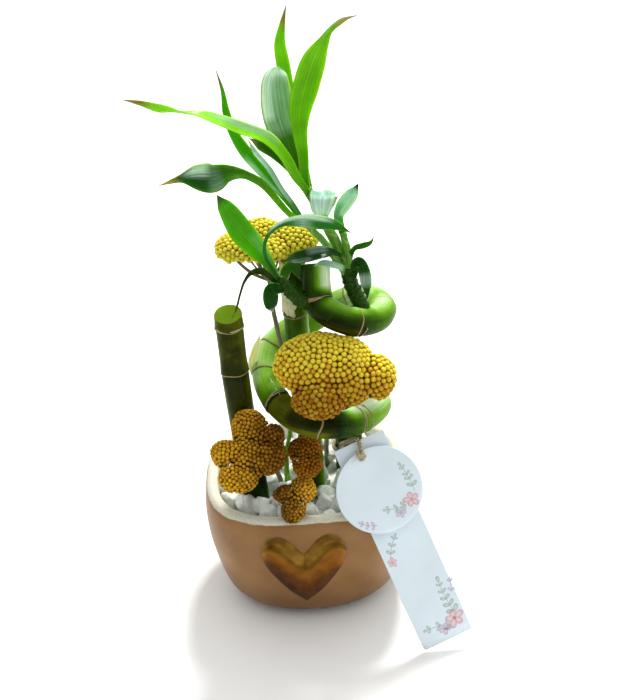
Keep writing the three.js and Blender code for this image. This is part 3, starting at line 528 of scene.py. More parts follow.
# Painted light and shade on a side by the way it faces: from and to along the cane, the direction it faces,
# extra tone
PAINTED_SIDE_LIGHT = {
    "left": [(0.4, 1.1, (1.1, -0.1, 0), -0.2), (0.4, 1.1, (-1.1, 0.2, 0), -0.2)],
    "centre": [(0.1, 1.1, (1, 0.1, 0), 0.9)],
    "spiral": [(0.24, 0.375, (0.1, 0.1, 1), 1.2), (0.38, 0.46, (0, -0.8, -1.4), -0.45),
               (0.5, 0.62, (-1, 0, 0.3), 0.4), (0.79, 0.87, (0.1, 0.1, 1), 0.9),
               (0.86, 0.945, (0, 0.1, 1), 1.3), (0.87, 0.945, (0, -0.75, -1.3), -0.42),
               (0.95, 1.1, (0.75, -0.6, 0.1), 2.2)],
}


def carried_frames(path):
    """Directions along the path and square to it at each point. The side is carried from point to point
    and made square to the path again each time, so the frame never spins."""
    along = unit(np.gradient(path, axis=0))
    side, carried = np.empty_like(path), np.array([1, 0.01, 0.02])
    for i, direction in enumerate(along):
        side[i] = carried = unit(carried - direction * (carried @ direction))
    return along, side, np.cross(along, side)


def outwards(angles, side, other):
    """Directions out from a path, at angles round it: cos a side + sin a other."""
    return np.cos(angles)[..., None] * side[:, None] + np.sin(angles)[..., None] * other[:, None]


def tube(path, radius, sides):
    """Rings round a path: centre + radius (cos a side + sin a other). Also gives the same skin laid
    straight, (radius cos a, radius sin a, length along), for patterns that follow the stem."""
    a = ring_angles(sides)
    radius = np.broadcast_to(np.atleast_2d(np.asarray(radius, float).T).T, (len(path), sides))
    _, side, other = carried_frames(path)
    grain = np.stack([radius * np.cos(a), radius * np.sin(a), lengths(path)[:, None] + 0 * radius], -1)
    return path[:, None] + radius[..., None] * outwards(a, side, other), grain


def cane(name, sides=56, step=0.7, cut_reach=30):
    """A cane's skin and its sawn top: the radius swells by a bell curve above each node and has a narrow
    raised scar on it; the top is rings drawn in to the middle, a little hollow."""
    path = spline(CANES[name], step=step)
    s = lengths(path)[:, None]
    a = ring_angles(sides)[None]
    shape = 1 + 0.012 * np.cos(2 * a + s / 40) + 0.006 * np.cos(5 * a + s / 23) + 0.008 * np.sin(s / 9)
    nearest = np.full((len(path), sides), NO_NODE)
    for k, share in enumerate(CANE_NODES[name]):
        d = s - share * s[-1] + 0.7 * np.sin(a + 2 * k) + 0.25 * np.sin(4 * a + k)
        shape += 0.04 * np.exp(-(((d - 1.5) / 3.2) ** 2)) + 0.03 * np.exp(-((d / 0.5) ** 2))
        shape -= 0.022 * np.exp(-(((d + 1.2) / 0.7) ** 2))
        nearest = np.where(np.abs(d) < np.abs(nearest), d, nearest)
    points, grain = tube(path, CANE_RADIUS[name] * shape, sides)
    along = unit(path[-1] - path[-2])
    # A slanted saw cut: the last cut_reach mm is drawn down, the more the nearer to its low side
    low_side = (0, -math.copysign(1, CUT_SLANT[name]), 0)
    from_high = (points[-1] - path[-1]) @ low_side + CANE_RADIUS[name] * (CUT_SLANT[name] > 0)
    slant = math.tan(math.radians(abs(CUT_SLANT[name]))) * from_high
    points -= along * (slant * np.clip(1 - (s[-1] - s) / cut_reach, 0, 1) ** 2)[..., None]
    top = points[-1].mean(0)
    cap = [top + (points[-1] - top) * w + along * up for w, up in CUT_RINGS]
    cap_grain = [grain[-1] * (w, w, 1) for w, _ in CUT_RINGS]
    tone = np.interp(s[:, 0] / s[-1, 0], *np.array(CANE_LIT_TONE[name]).T)[:, None] + np.zeros(sides)
    _, side, other = carried_frames(path)
    out = outwards(a, side, other)
    for start, stop, lit_facing, extra in PAINTED_SIDE_LIGHT[name]:
        share = s / s[-1]
        window = np.clip((share - start) / 0.02, 0, 1) * np.clip((stop - share) / 0.02, 0, 1)
        tone = tone + extra * window * np.clip(out @ lit_facing, 0, 1) ** 3
    tail = np.ones((len(cap), sides))
    return closed_skin(
        np.concatenate([points, cap]), grain=np.concatenate([grain, cap_grain]),
        node=np.concatenate([nearest, NO_NODE * tail]), tone=np.concatenate([tone, tone[-1:] * tail]),
        cut=np.concatenate([np.zeros_like(nearest), tail * [[0.5], [1], [1], [1], [1], [1]]]))


# Waxy skin: hard and smooth, so highlights run in long lines along the cane
cane_skin, tree, surface = new_finish("waxy_cane_skin")
skin = add_node(tree, "Attribute", attribute_name="grain").outputs["Vector"]
# Fibre streaks about 0.6 mm wide and some centimetres long
fibres = add_node(tree, "Mapping", {"Vector": skin, "Scale": (1.5, 1.5, 0.035)})
streaks = add_node(tree, "TexNoise", {"Vector": fibres, "Scale": 1, "Detail": 4, "Roughness": 0.6})
blotch = add_node(tree, "TexNoise", {"Vector": skin, "Scale": 0.11, "Detail": 2})
patchy = add_node(tree, "MapRange", {"Value": blotch, "From Min": 0.3, "From Max": 0.7, "To Min": 0.43,
                                     "To Max": 0.57})
tone = add_node(tree, "Attribute", attribute_name="tone").outputs["Fac"]
toned = add_node(tree, "Math", {0: tone, 1: patchy}, operation="ADD")
share = add_node(tree, "MapRange", {"Value": toned, "From Max": 2.5})
# Painted light: the tone picks the skin's colour from olive through deep green in shade to bright lit green
# and a near-white painted highlight
green = add_node(tree, "ValToRGB", {"Fac": share}, stops=[
    (0, "#5c6404"), (1, "#d6ecc4"), (0.1, "#2c3002"), (0.2, "#0e1e02"), (0.32, "#2c4804"), (0.44, "#487a08"),
    (0.6, "#72a424"), (0.8, "#aad08a")])
grained = add_node(tree, "MapRange", {"Value": streaks, "From Min": 0.3, "From Max": 0.7, "To Min": 0.78,
                                      "To Max": 1.16})
body = add_node(tree, "VectorMath", {0: green, "Scale": grained}, operation="SCALE").outputs[0]
# Each node: a pale papery scar a millimetre wide, brown just under it, and paler green above
node = add_node(tree, "Attribute", attribute_name="node").outputs["Fac"]
along_node = add_node(tree, "MapRange", {"Value": node, "From Min": -8, "From Max": 8})
scar_share = add_node(tree, "ValToRGB", {"Fac": along_node}, stops=[
    (0, "#000000"), (1, "#000000"), (0.44, "#484848"), (0.47, "#ffffff"), (0.52, "#ffffff"),
    (0.54, "#303030"), (0.75, "#080808")])
scar_colour = add_node(tree, "ValToRGB", {"Fac": along_node}, stops=[
    (0.4, "#1c1a06"), (1, "#7ea428"), (0.475, "#3a2c14"), (0.495, "#b4a478"), (0.52, "#6a562c"),
    (0.56, "#5f8a1c")])
scarred = add_node(tree, "Mix", {0: scar_share, 6: body, 7: scar_colour}, data_type="RGBA").outputs[2]
# The sawn top: pale pith with darker fibre ends and a green rim
fibre_ends = add_node(tree, "TexVoronoi", {"Vector": skin, "Scale": 1.1})
pith = add_node(tree, "ValToRGB", {"Fac": fibre_ends}, stops=[(0.05, "#4e6c08"), (0.35, "#7aa01c")])
cut = add_node(tree, "Attribute", attribute_name="cut").outputs["Fac"]
colour = add_node(tree, "Mix", {0: cut, 6: scarred, 7: pith}, data_type="RGBA").outputs[2]
gloss = add_node(tree, "MapRange", {"Value": cut, "To Min": 0.3, "To Max": 0.75})
ribs = add_node(tree, "Bump", {"Height": streaks, "Strength": 0.25, "Distance": 0.0003})
wire(tree, surface, {
    "Base Color": colour, "Roughness": gloss, "Normal": ribs, "Coat Weight": 0.06, "Coat Roughness": 0.06,
    "Specular IOR Level": 0.02, "Subsurface Weight": 0.08, "Subsurface Radius": (0.6, 1, 0.2),
    "Subsurface Scale": 0.003})
for name in CANES:
    add_piece(f"{name}_cane", [cane(name)], cane_skin, [f"cane_{name}"])

# Young stem: one slim bright green shoot, 4 mm thick at its foot, that comes up between the canes
YOUNG_SIDES = 14
young_path = spline([(-13, -1, 50), (-12, -5, 98), (-9, -10, 116), (-8, -15, 130)], step=1.5)
young, young_grain = tube(young_path, np.linspace(2, 1.1, len(young_path))[:, None], YOUNG_SIDES)
tip = np.ones(young.shape[:2])
shoot = closed_skin(young, grain=young_grain, node=NO_NODE * tip, tone=tip, cut=0 * tip)
add_piece("young_shoot", [shoot], cane_skin, ["young_stem"])

# Yarrow: dried flower heads, each a flat-topped bunch of lobes crowded with hard yellow buttons 2.6 to
# 3.7 mm across, on thin branches that fork from one grey ribbed stem.
BUTTON_SIDES = 8
# A button's section as (share of its radius, height in radii): a ball a little flat on top
BUTTON_SECTION = np.array([(0.5, -0.7), (0.93, -0.2), (1, 0.2), (0.82, 0.62), (0.42, 0.88), (0.1, 0.92)])
# Spacing in button widths, and the clusters that stand out as low domes: apart, half width and depth
BUTTON_SPACING, DOME_APART, DOME_HALF, DOME_DEPTH = 0.85, 8.5, 6.5, 0.8
UNDERSIDE = -1.6
# Each head's middle, its lean back, how sharply its lobes meet, its buttons' size and their lit and shaded
# colours, a painted light and shade; the left and small heads are painted darker for the shade they hang in.
# sun is painted light: how lit the middle is, and how much more each mm across and up. A lobe is (across,
# up, half width, half height, depth) on the head's own plane.
YARROW = {
    "front": {
        "centre": (20, -44.5, 176.5), "tilt": 42, "joined": 14, "button": 3.7,
        "colours": ("#fff050", "#c48416"), "sun": (0.88, 0.004, 0.034),
        "lobes": [(-9, 8, 27, 20, 15), (8, 5, 16.5, 18.5, 14), (25, -2, 11.5, 14, 11), (-10, -14, 17, 12, 12),
                  (8, -9, 13, 10, 11)],
        "stem": [(14, 20, 50), (14, 15, 90), (16, -8, 118), (18, -26, 143), (19, -37, 164), (20, -43, 175)]},
    "back": {
        "centre": (-15, 6, 241), "tilt": 15, "joined": 11, "button": 3.5,
        "colours": ("#ffff5c", "#d8a820"), "sun": (1, 0, 0),
        "lobes": [(-16, -3, 15, 13, 9), (-3, 5, 16, 14, 11), (18, 1, 14, 13, 9), (0, -8, 15, 10, 8)],
        "stem": [(4, 9, 50), (3, 10, 84), (-4, 7, 130), (-10, 2, 172), (-14, 2, 202), (-15, 5, 240)]},
    "left": {
        "centre": (-31.5, -47.5, 129), "tilt": 45, "joined": 8, "button": 2.8,
        "colours": ("#dcb02c", "#845410"), "sun": (0.66, -0.03, -0.003),
        "lobes": [(-1, 16.5, 11.5, 11, 9), (-17, 1, 8.5, 8.5, 7.5), (-3, 0, 12, 10, 9), (10, -2.5, 11, 12, 9),
                  (12, 10, 8.5, 7.5, 7), (-9, -14, 12.5, 10, 8.5)],
        "stem": [(-17, -8, 50), (-17, -12, 84), (-22, -27, 106), (-31, -46, 128)]},
    "small": {
        "centre": (0, -40, 119), "tilt": 45, "joined": 6, "button": 2.6,
        "colours": ("#a06c10", "#5c3606"), "sun": (0.9, 0, -0.01),
        "lobes": [(0, 4, 11, 9, 8), (1, -6, 9.5, 8, 7.5)],
        "stem": [(2, -22, 50), (1, -22, 84), (0, -28, 102), (0, -39, 118)]},
    "low": {
        "centre": (-7, -50, 97), "tilt": 45, "joined": 9, "button": 2.6,
        "colours": ("#e4b83a", "#7c4c0e"), "sun": (0.72, 0.05, 0.01),
        "lobes": [(-7, 2, 7.5, 6, 6), (4, 4, 8.5, 9.5, 7), (-2.5, -8, 8, 9, 7)],
        "stem": [(-10, -30, 50), (-10, -30, 82), (-8, -38, 90), (-7, -49, 96)]},
}


def spread(count):
    """Directions spread evenly over a sphere by turning the golden angle from each to the next."""
    i = np.arange(count) + 0.5
    z = 1 - 2 * i / count
    a = i * np.pi * (3 - math.sqrt(5))
    return np.stack([np.sqrt(1 - z * z) * np.cos(a), np.sqrt(1 - z * z) * np.sin(a), z], -1)


def button_places(lobes, joined, size):
    """Places and outward directions for buttons of one size on the lobes, joined as one soft skin: each
    even spot on an ellipsoid is moved by Newton steps to where the sum of exp(joined (1 - r)) over the
    lobes is 1, r being its distance from a lobe's centre in that lobe's radii. From one spot outwards,
    each is kept that is a spacing clear of all kept before. Clusters stand out in low domes."""
    shape = np.array(lobes, float)
    middle, axes = np.column_stack([shape[:, :2], 0 * shape[:, 0]]), shape[:, 2:]
    spots = [spread(int(160 * (a * b + b * c + a * c) / size**2)) * (a, b, c) + (u, v, 0)
             for u, v, a, b, c in lobes]
    places = np.concatenate(spots)
    for _ in range(6):
        away = (places[:, None] - middle) / axes
        reach = np.linalg.norm(away, axis=2)
        share = np.exp(joined * (1 - reach))
        total = share.sum(1)
        slope = -joined * ((share / reach / total[:, None])[..., None] * away / axes).sum(1)
        places = places - (np.log(total) / (slope**2).sum(1))[:, None] * slope
    normals = -unit(slope)
    above = places[:, 2] > UNDERSIDE
    places, normals = places[above], normals[above]
    places += 0.1 * rng.normal(size=places.shape)
    kept = []
    for i in np.argsort(np.linalg.norm(places - places[0], axis=1)):
        if not kept or np.linalg.norm(places[kept] - places[i], axis=1).min() > BUTTON_SPACING * size:
            kept.append(i)
    places, normals = places[kept], normals[kept]
    seeds = []
    for i in range(len(places)):
        if not seeds or np.linalg.norm(places[seeds] - places[i], axis=1).min() > DOME_APART:
            seeds.append(i)
    from_seed = np.linalg.norm(places[:, None] - places[seeds][None], axis=2).min(1)
    sunk = DOME_DEPTH * np.clip(from_seed / DOME_HALF, 0, 1) ** 2
    return places - normals * (sunk + size * 0.42)[:, None], normals, sunk / DOME_DEPTH


def buttons(places, normals, sunk, size, colours, sun):
    """One skin of all the buttons: the section turned round each outward direction, in a lit or a shaded
    share of the head's two colours, a painted light and shade: darker towards each button's foot and in the
    hollows between domes. sun is painted light: how lit the head is at its middle, and how much more for each
    mm across and up it; buttons painted as less lit are darker and browner."""
    count = len(places)
    across = unit(np.cross(normals, (0.3, 0.5, 0.8)))
    other = np.cross(normals, across)
    radius = size / 2 * rng.uniform(0.9, 1.08, count)[:, None, None, None]
    wide, high = (BUTTON_SECTION[None, :, i, None, None] for i in (0, 1))
    out = outwards(ring_angles(BUTTON_SIDES), across, other)[:, None]
    points = places[:, None, None] + radius * (wide * out + high * normals[:, None, None])
    rings = len(BUTTON_SECTION)
    one = ring_faces(rings, BUTTON_SIDES)
    faces = [[corner + i * rings * BUTTON_SIDES for corner in face] for i in range(count) for face in one]
    bright, shaded = (np.array(linear(code)) for code in colours)
    sunlit = np.clip(sun[0] + places[:, 0] * sun[1] + places[:, 1] * sun[2], 0.3, 1.1)[:, None, None, None]
    # Painted light and shade: sunk buttons and each button's lower rings take more of the shaded colour, the
    # rings darken towards the foot and brighten at the top, and less lit buttons are darker
    share = np.clip(0.35 * sunk + rng.normal(0.05, 0.15, count), 0, 1)[:, None, None, None]
    share = np.clip(share + 0.9 * (1 - sunlit), 0, 1)
    share = 1 - (1 - share) * (1 - np.array([1, 0.85, 0.55, 0.2, 0, 0])[None, :, None, None])
    depth = np.array([0.14, 0.3, 0.62, 1, 1.25, 1.3])[None, :, None, None] * sunlit**0.4
    tint = (bright * (1 - share) + shaded * share) * depth * np.ones((count, rings, BUTTON_SIDES, 1))
    return points.reshape(-1, 3), faces, {"tint": np.clip(tint, 0, 1).reshape(-1, 4)}


def lobe_core(u, v, a, b, c, colour, inset=2.2, floor=-1.5, rings=16, sides=30):
    """The crowded bases under the buttons: an ellipsoid smaller by inset, uneven, and flat at floor."""
    polar = np.linspace(0.06, np.pi - 0.06, rings)[::-1, None]
    angle = ring_angles(sides)
    d = np.stack([np.sin(polar) * np.cos(angle), np.sin(polar) * np.sin(angle),
                  np.cos(polar) + 0 * angle], -1)
    rough = 1 + 0.03 * np.sin(7 * angle + 5 * polar) + 0.03 * np.cos(11 * polar + 3 * angle)
    points = d * (a - inset, b - inset, c - inset) * rough[..., None] + (u, v, 0)
    points[..., 2] = np.maximum(points[..., 2], floor + 0.4 * np.sin(3 * angle))
    return closed_skin(points, tint=np.tile(linear(colour), (rings * sides, 1)))


# Dried florets: dusty and without gloss; their tint is painted light and shade, bright on top and brown
# down between the buttons
yarrow_button, tree, surface = new_finish("dried_yarrow_buttons")
place = add_node(tree, "TexCoord").outputs["Object"]
tint = add_node(tree, "Attribute", attribute_name="tint").outputs["Color"]
# Each button is made of florets about half a millimetre across
florets = add_node(tree, "TexVoronoi", {"Vector": place, "Scale": 1900})
dusty = add_node(tree, "ValToRGB", {"Fac": florets}, stops=[(0.05, "#ffffff"), (0.75, "#dac892")])
colour = add_node(tree, "Mix", {0: 1.0, 6: tint, 7: dusty}, data_type="RGBA", blend_type="MULTIPLY")
bumpy = add_node(tree, "Bump", {"Height": florets, "Strength": 0.6, "Distance": 0.0004})
bumpy.invert = True
wire(tree, surface, {
    "Base Color": colour.outputs[2], "Roughness": 0.8, "Normal": bumpy, "Specular IOR Level": 0.1})


def fibrous_finish(name, fibres, stops, strength, distance=0.0003, detail=3, slant=0.0):
    """A finish whose streaks follow the stem, drawn out along it by the scale in fibres: they colour it
    by stops and stand up as ribs. Gives the material, tree, shader, streaks, colour and ribs."""
    material, tree, surface = new_finish(name)
    skin = add_node(tree, "Attribute", attribute_name="grain").outputs["Vector"]
    laid = add_node(tree, "Mapping", {"Vector": skin, "Scale": fibres, "Rotation": (0, slant, 0)})
    streaks = add_node(tree, "TexNoise", {"Vector": laid, "Scale": 1, "Detail": detail})
    colour = add_node(tree, "ValToRGB", {"Fac": streaks}, stops=stops)
    ribs = add_node(tree, "Bump", {"Height": streaks, "Strength": strength, "Distance": distance})
    return material, tree, surface, streaks, colour, ribs


# Dried stem: a dull grey-green skin, with a down that catches the light along its ribs
ribbed_stem, tree, surface, streaks, colour, downy = fibrous_finish(
    "dried_ribbed_stem", (3, 3, 0.2), [(0.3, "#4c4a30"), (0.7, "#98946c")], 0.5)
wire(tree, surface, {"Base Color": colour, "Roughness": 0.9, "Normal": downy, "Sheen Weight": 0.3})

# A stem's ribs, how far up it forks, and the branches that it sends to each lobe
STEM_SIDES, STEM_RIBS, FORK_AT, LOBE_BRANCHES = 20, 5, 0.88, 5
for name, head in YARROW.items():
    lean = np.array(Matrix.Rotation(math.radians(head["tilt"]), 3, "X"))
    centre = np.array(head["centre"])
    places, normals, sunk = button_places(head["lobes"], head["joined"], head["button"])
    parts = [buttons(places, normals, sunk, head["button"], head["colours"], head["sun"])]
    # The crowded bases take the shaded colour, a painted shade down between the buttons
    parts += [lobe_core(*lobe, head["colours"][1]) for lobe in head["lobes"]]
    parts = [(np.reshape(points, (-1, 3)) @ lean.T + centre, faces, extra) for points, faces, extra in parts]
    add_piece(f"yarrow_{name}_head", parts, yarrow_button, [f"yarrow_{name}"])
    stem_path = spline(head["stem"], step=1.2)
    ribs = 1 + 0.09 * np.cos(STEM_RIBS * ring_angles(STEM_SIDES))
    taper = np.linspace(1.6, 1.3, len(stem_path))[:, None]
    stem, stem_grain = tube(stem_path, taper * ribs, STEM_SIDES)
    stem_parts = [closed_skin(stem, grain=stem_grain)]
    fork = stem_path[int(len(stem_path) * FORK_AT)]
    for u, v, a, b, c in head["lobes"]:
        for turn in ring_angles(LOBE_BRANCHES) + u:
            spot = lean @ (u + 0.55 * a * math.cos(turn), v + 0.55 * b * math.sin(turn), -1) + centre
            bend = (fork + spot) / 2 + lean @ (0, 0, -0.12) * np.linalg.norm(spot - fork)
            branch_path = spline([fork, bend, spot], step=1.5)
            branch, branch_grain = tube(branch_path, np.linspace(0.75, 0.45, len(branch_path))[:, None], 6)
            stem_parts.append(closed_skin(branch, grain=branch_grain))
    add_piece(f"yarrow_{name}_branches", stem_parts, ribbed_stem, [f"yarrow_{name}_stem"])

# Shoot bases and stalks: each shoot breaks from the spiral cane through a dark dried stub wrapped in
# scaly bracts, and goes on as a green stalk wrapped in the clasping bases of its leaves.
STALKS = {
    "shoot_base_left": {"radii": (5, 3.2), "wraps": 4.2, "flare": 0.2,
                        "path": [(11, -18, 211), (2, -19, 216), (-4, -19, 223), (-9, -18, 229)]},
    "shoot_base_right": {"radii": (4.6, 4), "wraps": 5, "flare": 0.2,
                         "path": [(40, -16, 202), (36, -12, 212), (33, -10, 220), (31, -8, 228)]},
    "stalk_crown": {"radii": (3.4, 2.6), "wraps": 12, "flare": 0.13,
                    "path": [(31, -8, 229), (27, -6, 240), (22, -4, 252), (17, -2, 264), (11, 0, 276)]},
    "stalk_side": {"radii": (2.2, 1.8), "wraps": 13, "flare": 0.13,
                   "path": [(30, -10, 226), (24, -12, 238), (18, -13, 249), (11, -12, 257), (5, -10, 263)]},
    "stalk_short": {"radii": (2.4, 2), "wraps": 11, "flare": 0.13,
                    "path": [(33, -9, 226), (32, -9, 240), (30, -6, 250)]},
}


def wrapped_stalk(path, radii, wraps, flare, sides=28):
    """A stalk in overlapping sleeves, one every wraps mm: the radius swells along each sleeve and drops
    back at its slanted upper edge, which is one bell-shaped step round the stalk."""
    path = spline(path, step=0.5)
    s = lengths(path)[:, None]
    a = ring_angles(sides)[None]
    sleeve = (s + wraps * 0.35 * np.sin(a + 1.9 * np.floor(s / wraps)) + 0.4 * np.sin(3 * a + s)) / wraps
    through = sleeve - np.floor(sleeve)
    taper = radii[0] + (radii[1] - radii[0]) * s / s[-1]
    radius = taper * (1 + flare * (through**2.2 - 0.4 * np.exp(-((through / 0.08) ** 2))))
    points, grain = tube(path, radius, sides)
    return closed_skin(points, grain=grain, edge=through)


# Dried bract: dark green going brown, shiny where it is smooth and torn to pale paper at its edge
bract, tree, surface, streaks, dark_green, papery = fibrous_finish(
    "dried_bract", (2.2, 2.2, 0.16), [(0.3, "#0c1e04"), (0.75, "#34600c")], 0.5, 0.0004, detail=4)
edge = add_node(tree, "Attribute", attribute_name="edge").outputs["Fac"]
frayed = add_node(tree, "MapRange", {"Value": edge, "From Min": 0.9, "From Max": 0.99, "To Max": 0.5})
colour = add_node(tree, "Mix", {0: frayed.outputs[0], 6: dark_green, 7: linear("#a3855c")},
                  data_type="RGBA")
wire(tree, surface, {
    "Base Color": colour.outputs[2], "Roughness": 0.4, "Normal": papery, "Coat Weight": 0.08,
    "Coat Roughness": 0.1, "Specular IOR Level": 0.05})

# Living leaf base: satin bright green with fine ribs, let through by the light, paler at its edge
leaf_sleeve, tree, surface, streaks, green, ribbed = fibrous_finish(
    "green_leaf_sleeve", (2.4, 2.4, 0.05), [(0.3, "#2e6404"), (0.75, "#78ba1a")], 0.3)
edge = add_node(tree, "Attribute", attribute_name="edge").outputs["Fac"]
pale = add_node(tree, "MapRange", {"Value": edge, "From Min": 0.85, "From Max": 1, "To Max": 0.45})
colour = add_node(tree, "Mix", {0: pale.outputs[0], 6: green, 7: linear("#c9dc96")}, data_type="RGBA")
wire(tree, surface, {
    "Base Color": colour.outputs[2], "Roughness": 0.4, "Normal": ribbed, "Subsurface Weight": 0.15,
    "Subsurface Radius": (0.7, 1, 0.2), "Subsurface Scale": 0.002})
for name, stalk in STALKS.items():
    finish, slot = (bract, "dry_stub") if "base" in name else (leaf_sleeve, "stalk")
    add_piece(name.replace("shoot_base", "scaly_stub").replace("stalk", "sleeved_stalk"),
              [wrapped_stalk(**stalk)], finish, [name])

# Leaves: twenty straps that taper to a point, soft and a little over half a millimetre thick at the
# middle, folded along the midrib, with fine parallel veins. Each clasps its stalk and bends its own way.
FRONT_VIEW = np.array([0, -0.87, 0.49])
LEAF_THICKNESS, FOLD = 0.55, 0.16
# Hex colours at the base, along the blade, towards the end and at the tip, and of the far side. They are
# partly each leaf's own green and partly painted light: leaves in the light are painted brighter, those in
# shade darker, and the pale blue-grey of painted_silver and of broad's end is painted reflection of the sky.
LEAF_FINISH = {
    "lime": ("#469004", "#6ab408", "#78bc16", "#8a7434", "#7ec418"),
    "bright": ("#3c8206", "#62aa06", "#6eae14", "#8a7a44", "#70b818"),
    "fresh": ("#2c7a06", "#44a408", "#3f9a06", "#5c6a2c", "#5cac14"),
    "dark": ("#1c480c", "#123608", "#184208", "#2c3c14", "#2c5c12"),
    "spoon": ("#66ac14", "#4c8c0c", "#1c500c", "#a08c50", "#4a7a1c"),
    "olive": ("#3c7c0c", "#2c5c0c", "#2c5c0c", "#7a7440", "#4a7a1c"),
    "broad": ("#1c4c06", "#3a6c0e", "#5c9040", "#84a874", "#4c8a24"),
    "painted_silver": ("#3c8418", "#5c9a5c", "#74a88c", "#a0bca8", "#5c9a3c"),
    "dark_tip": ("#347a14", "#4c8c4c", "#84b49c", "#0c1206", "#5c9a3c"),
    "arch": ("#1c4e0a", "#246414", "#2c7428", "#2c6a18", "#5c9c60"),
    "vivid": ("#327c02", "#4ea602", "#429202", "#2c5810", "#54a410"),
    "stalked": ("#66ac18", "#143c08", "#143a0c", "#2c4a24", "#2c5c12"),
    "dry": ("#2a4a0c", "#24380c", "#343410", "#5a4a1e", "#465a1c"),
}
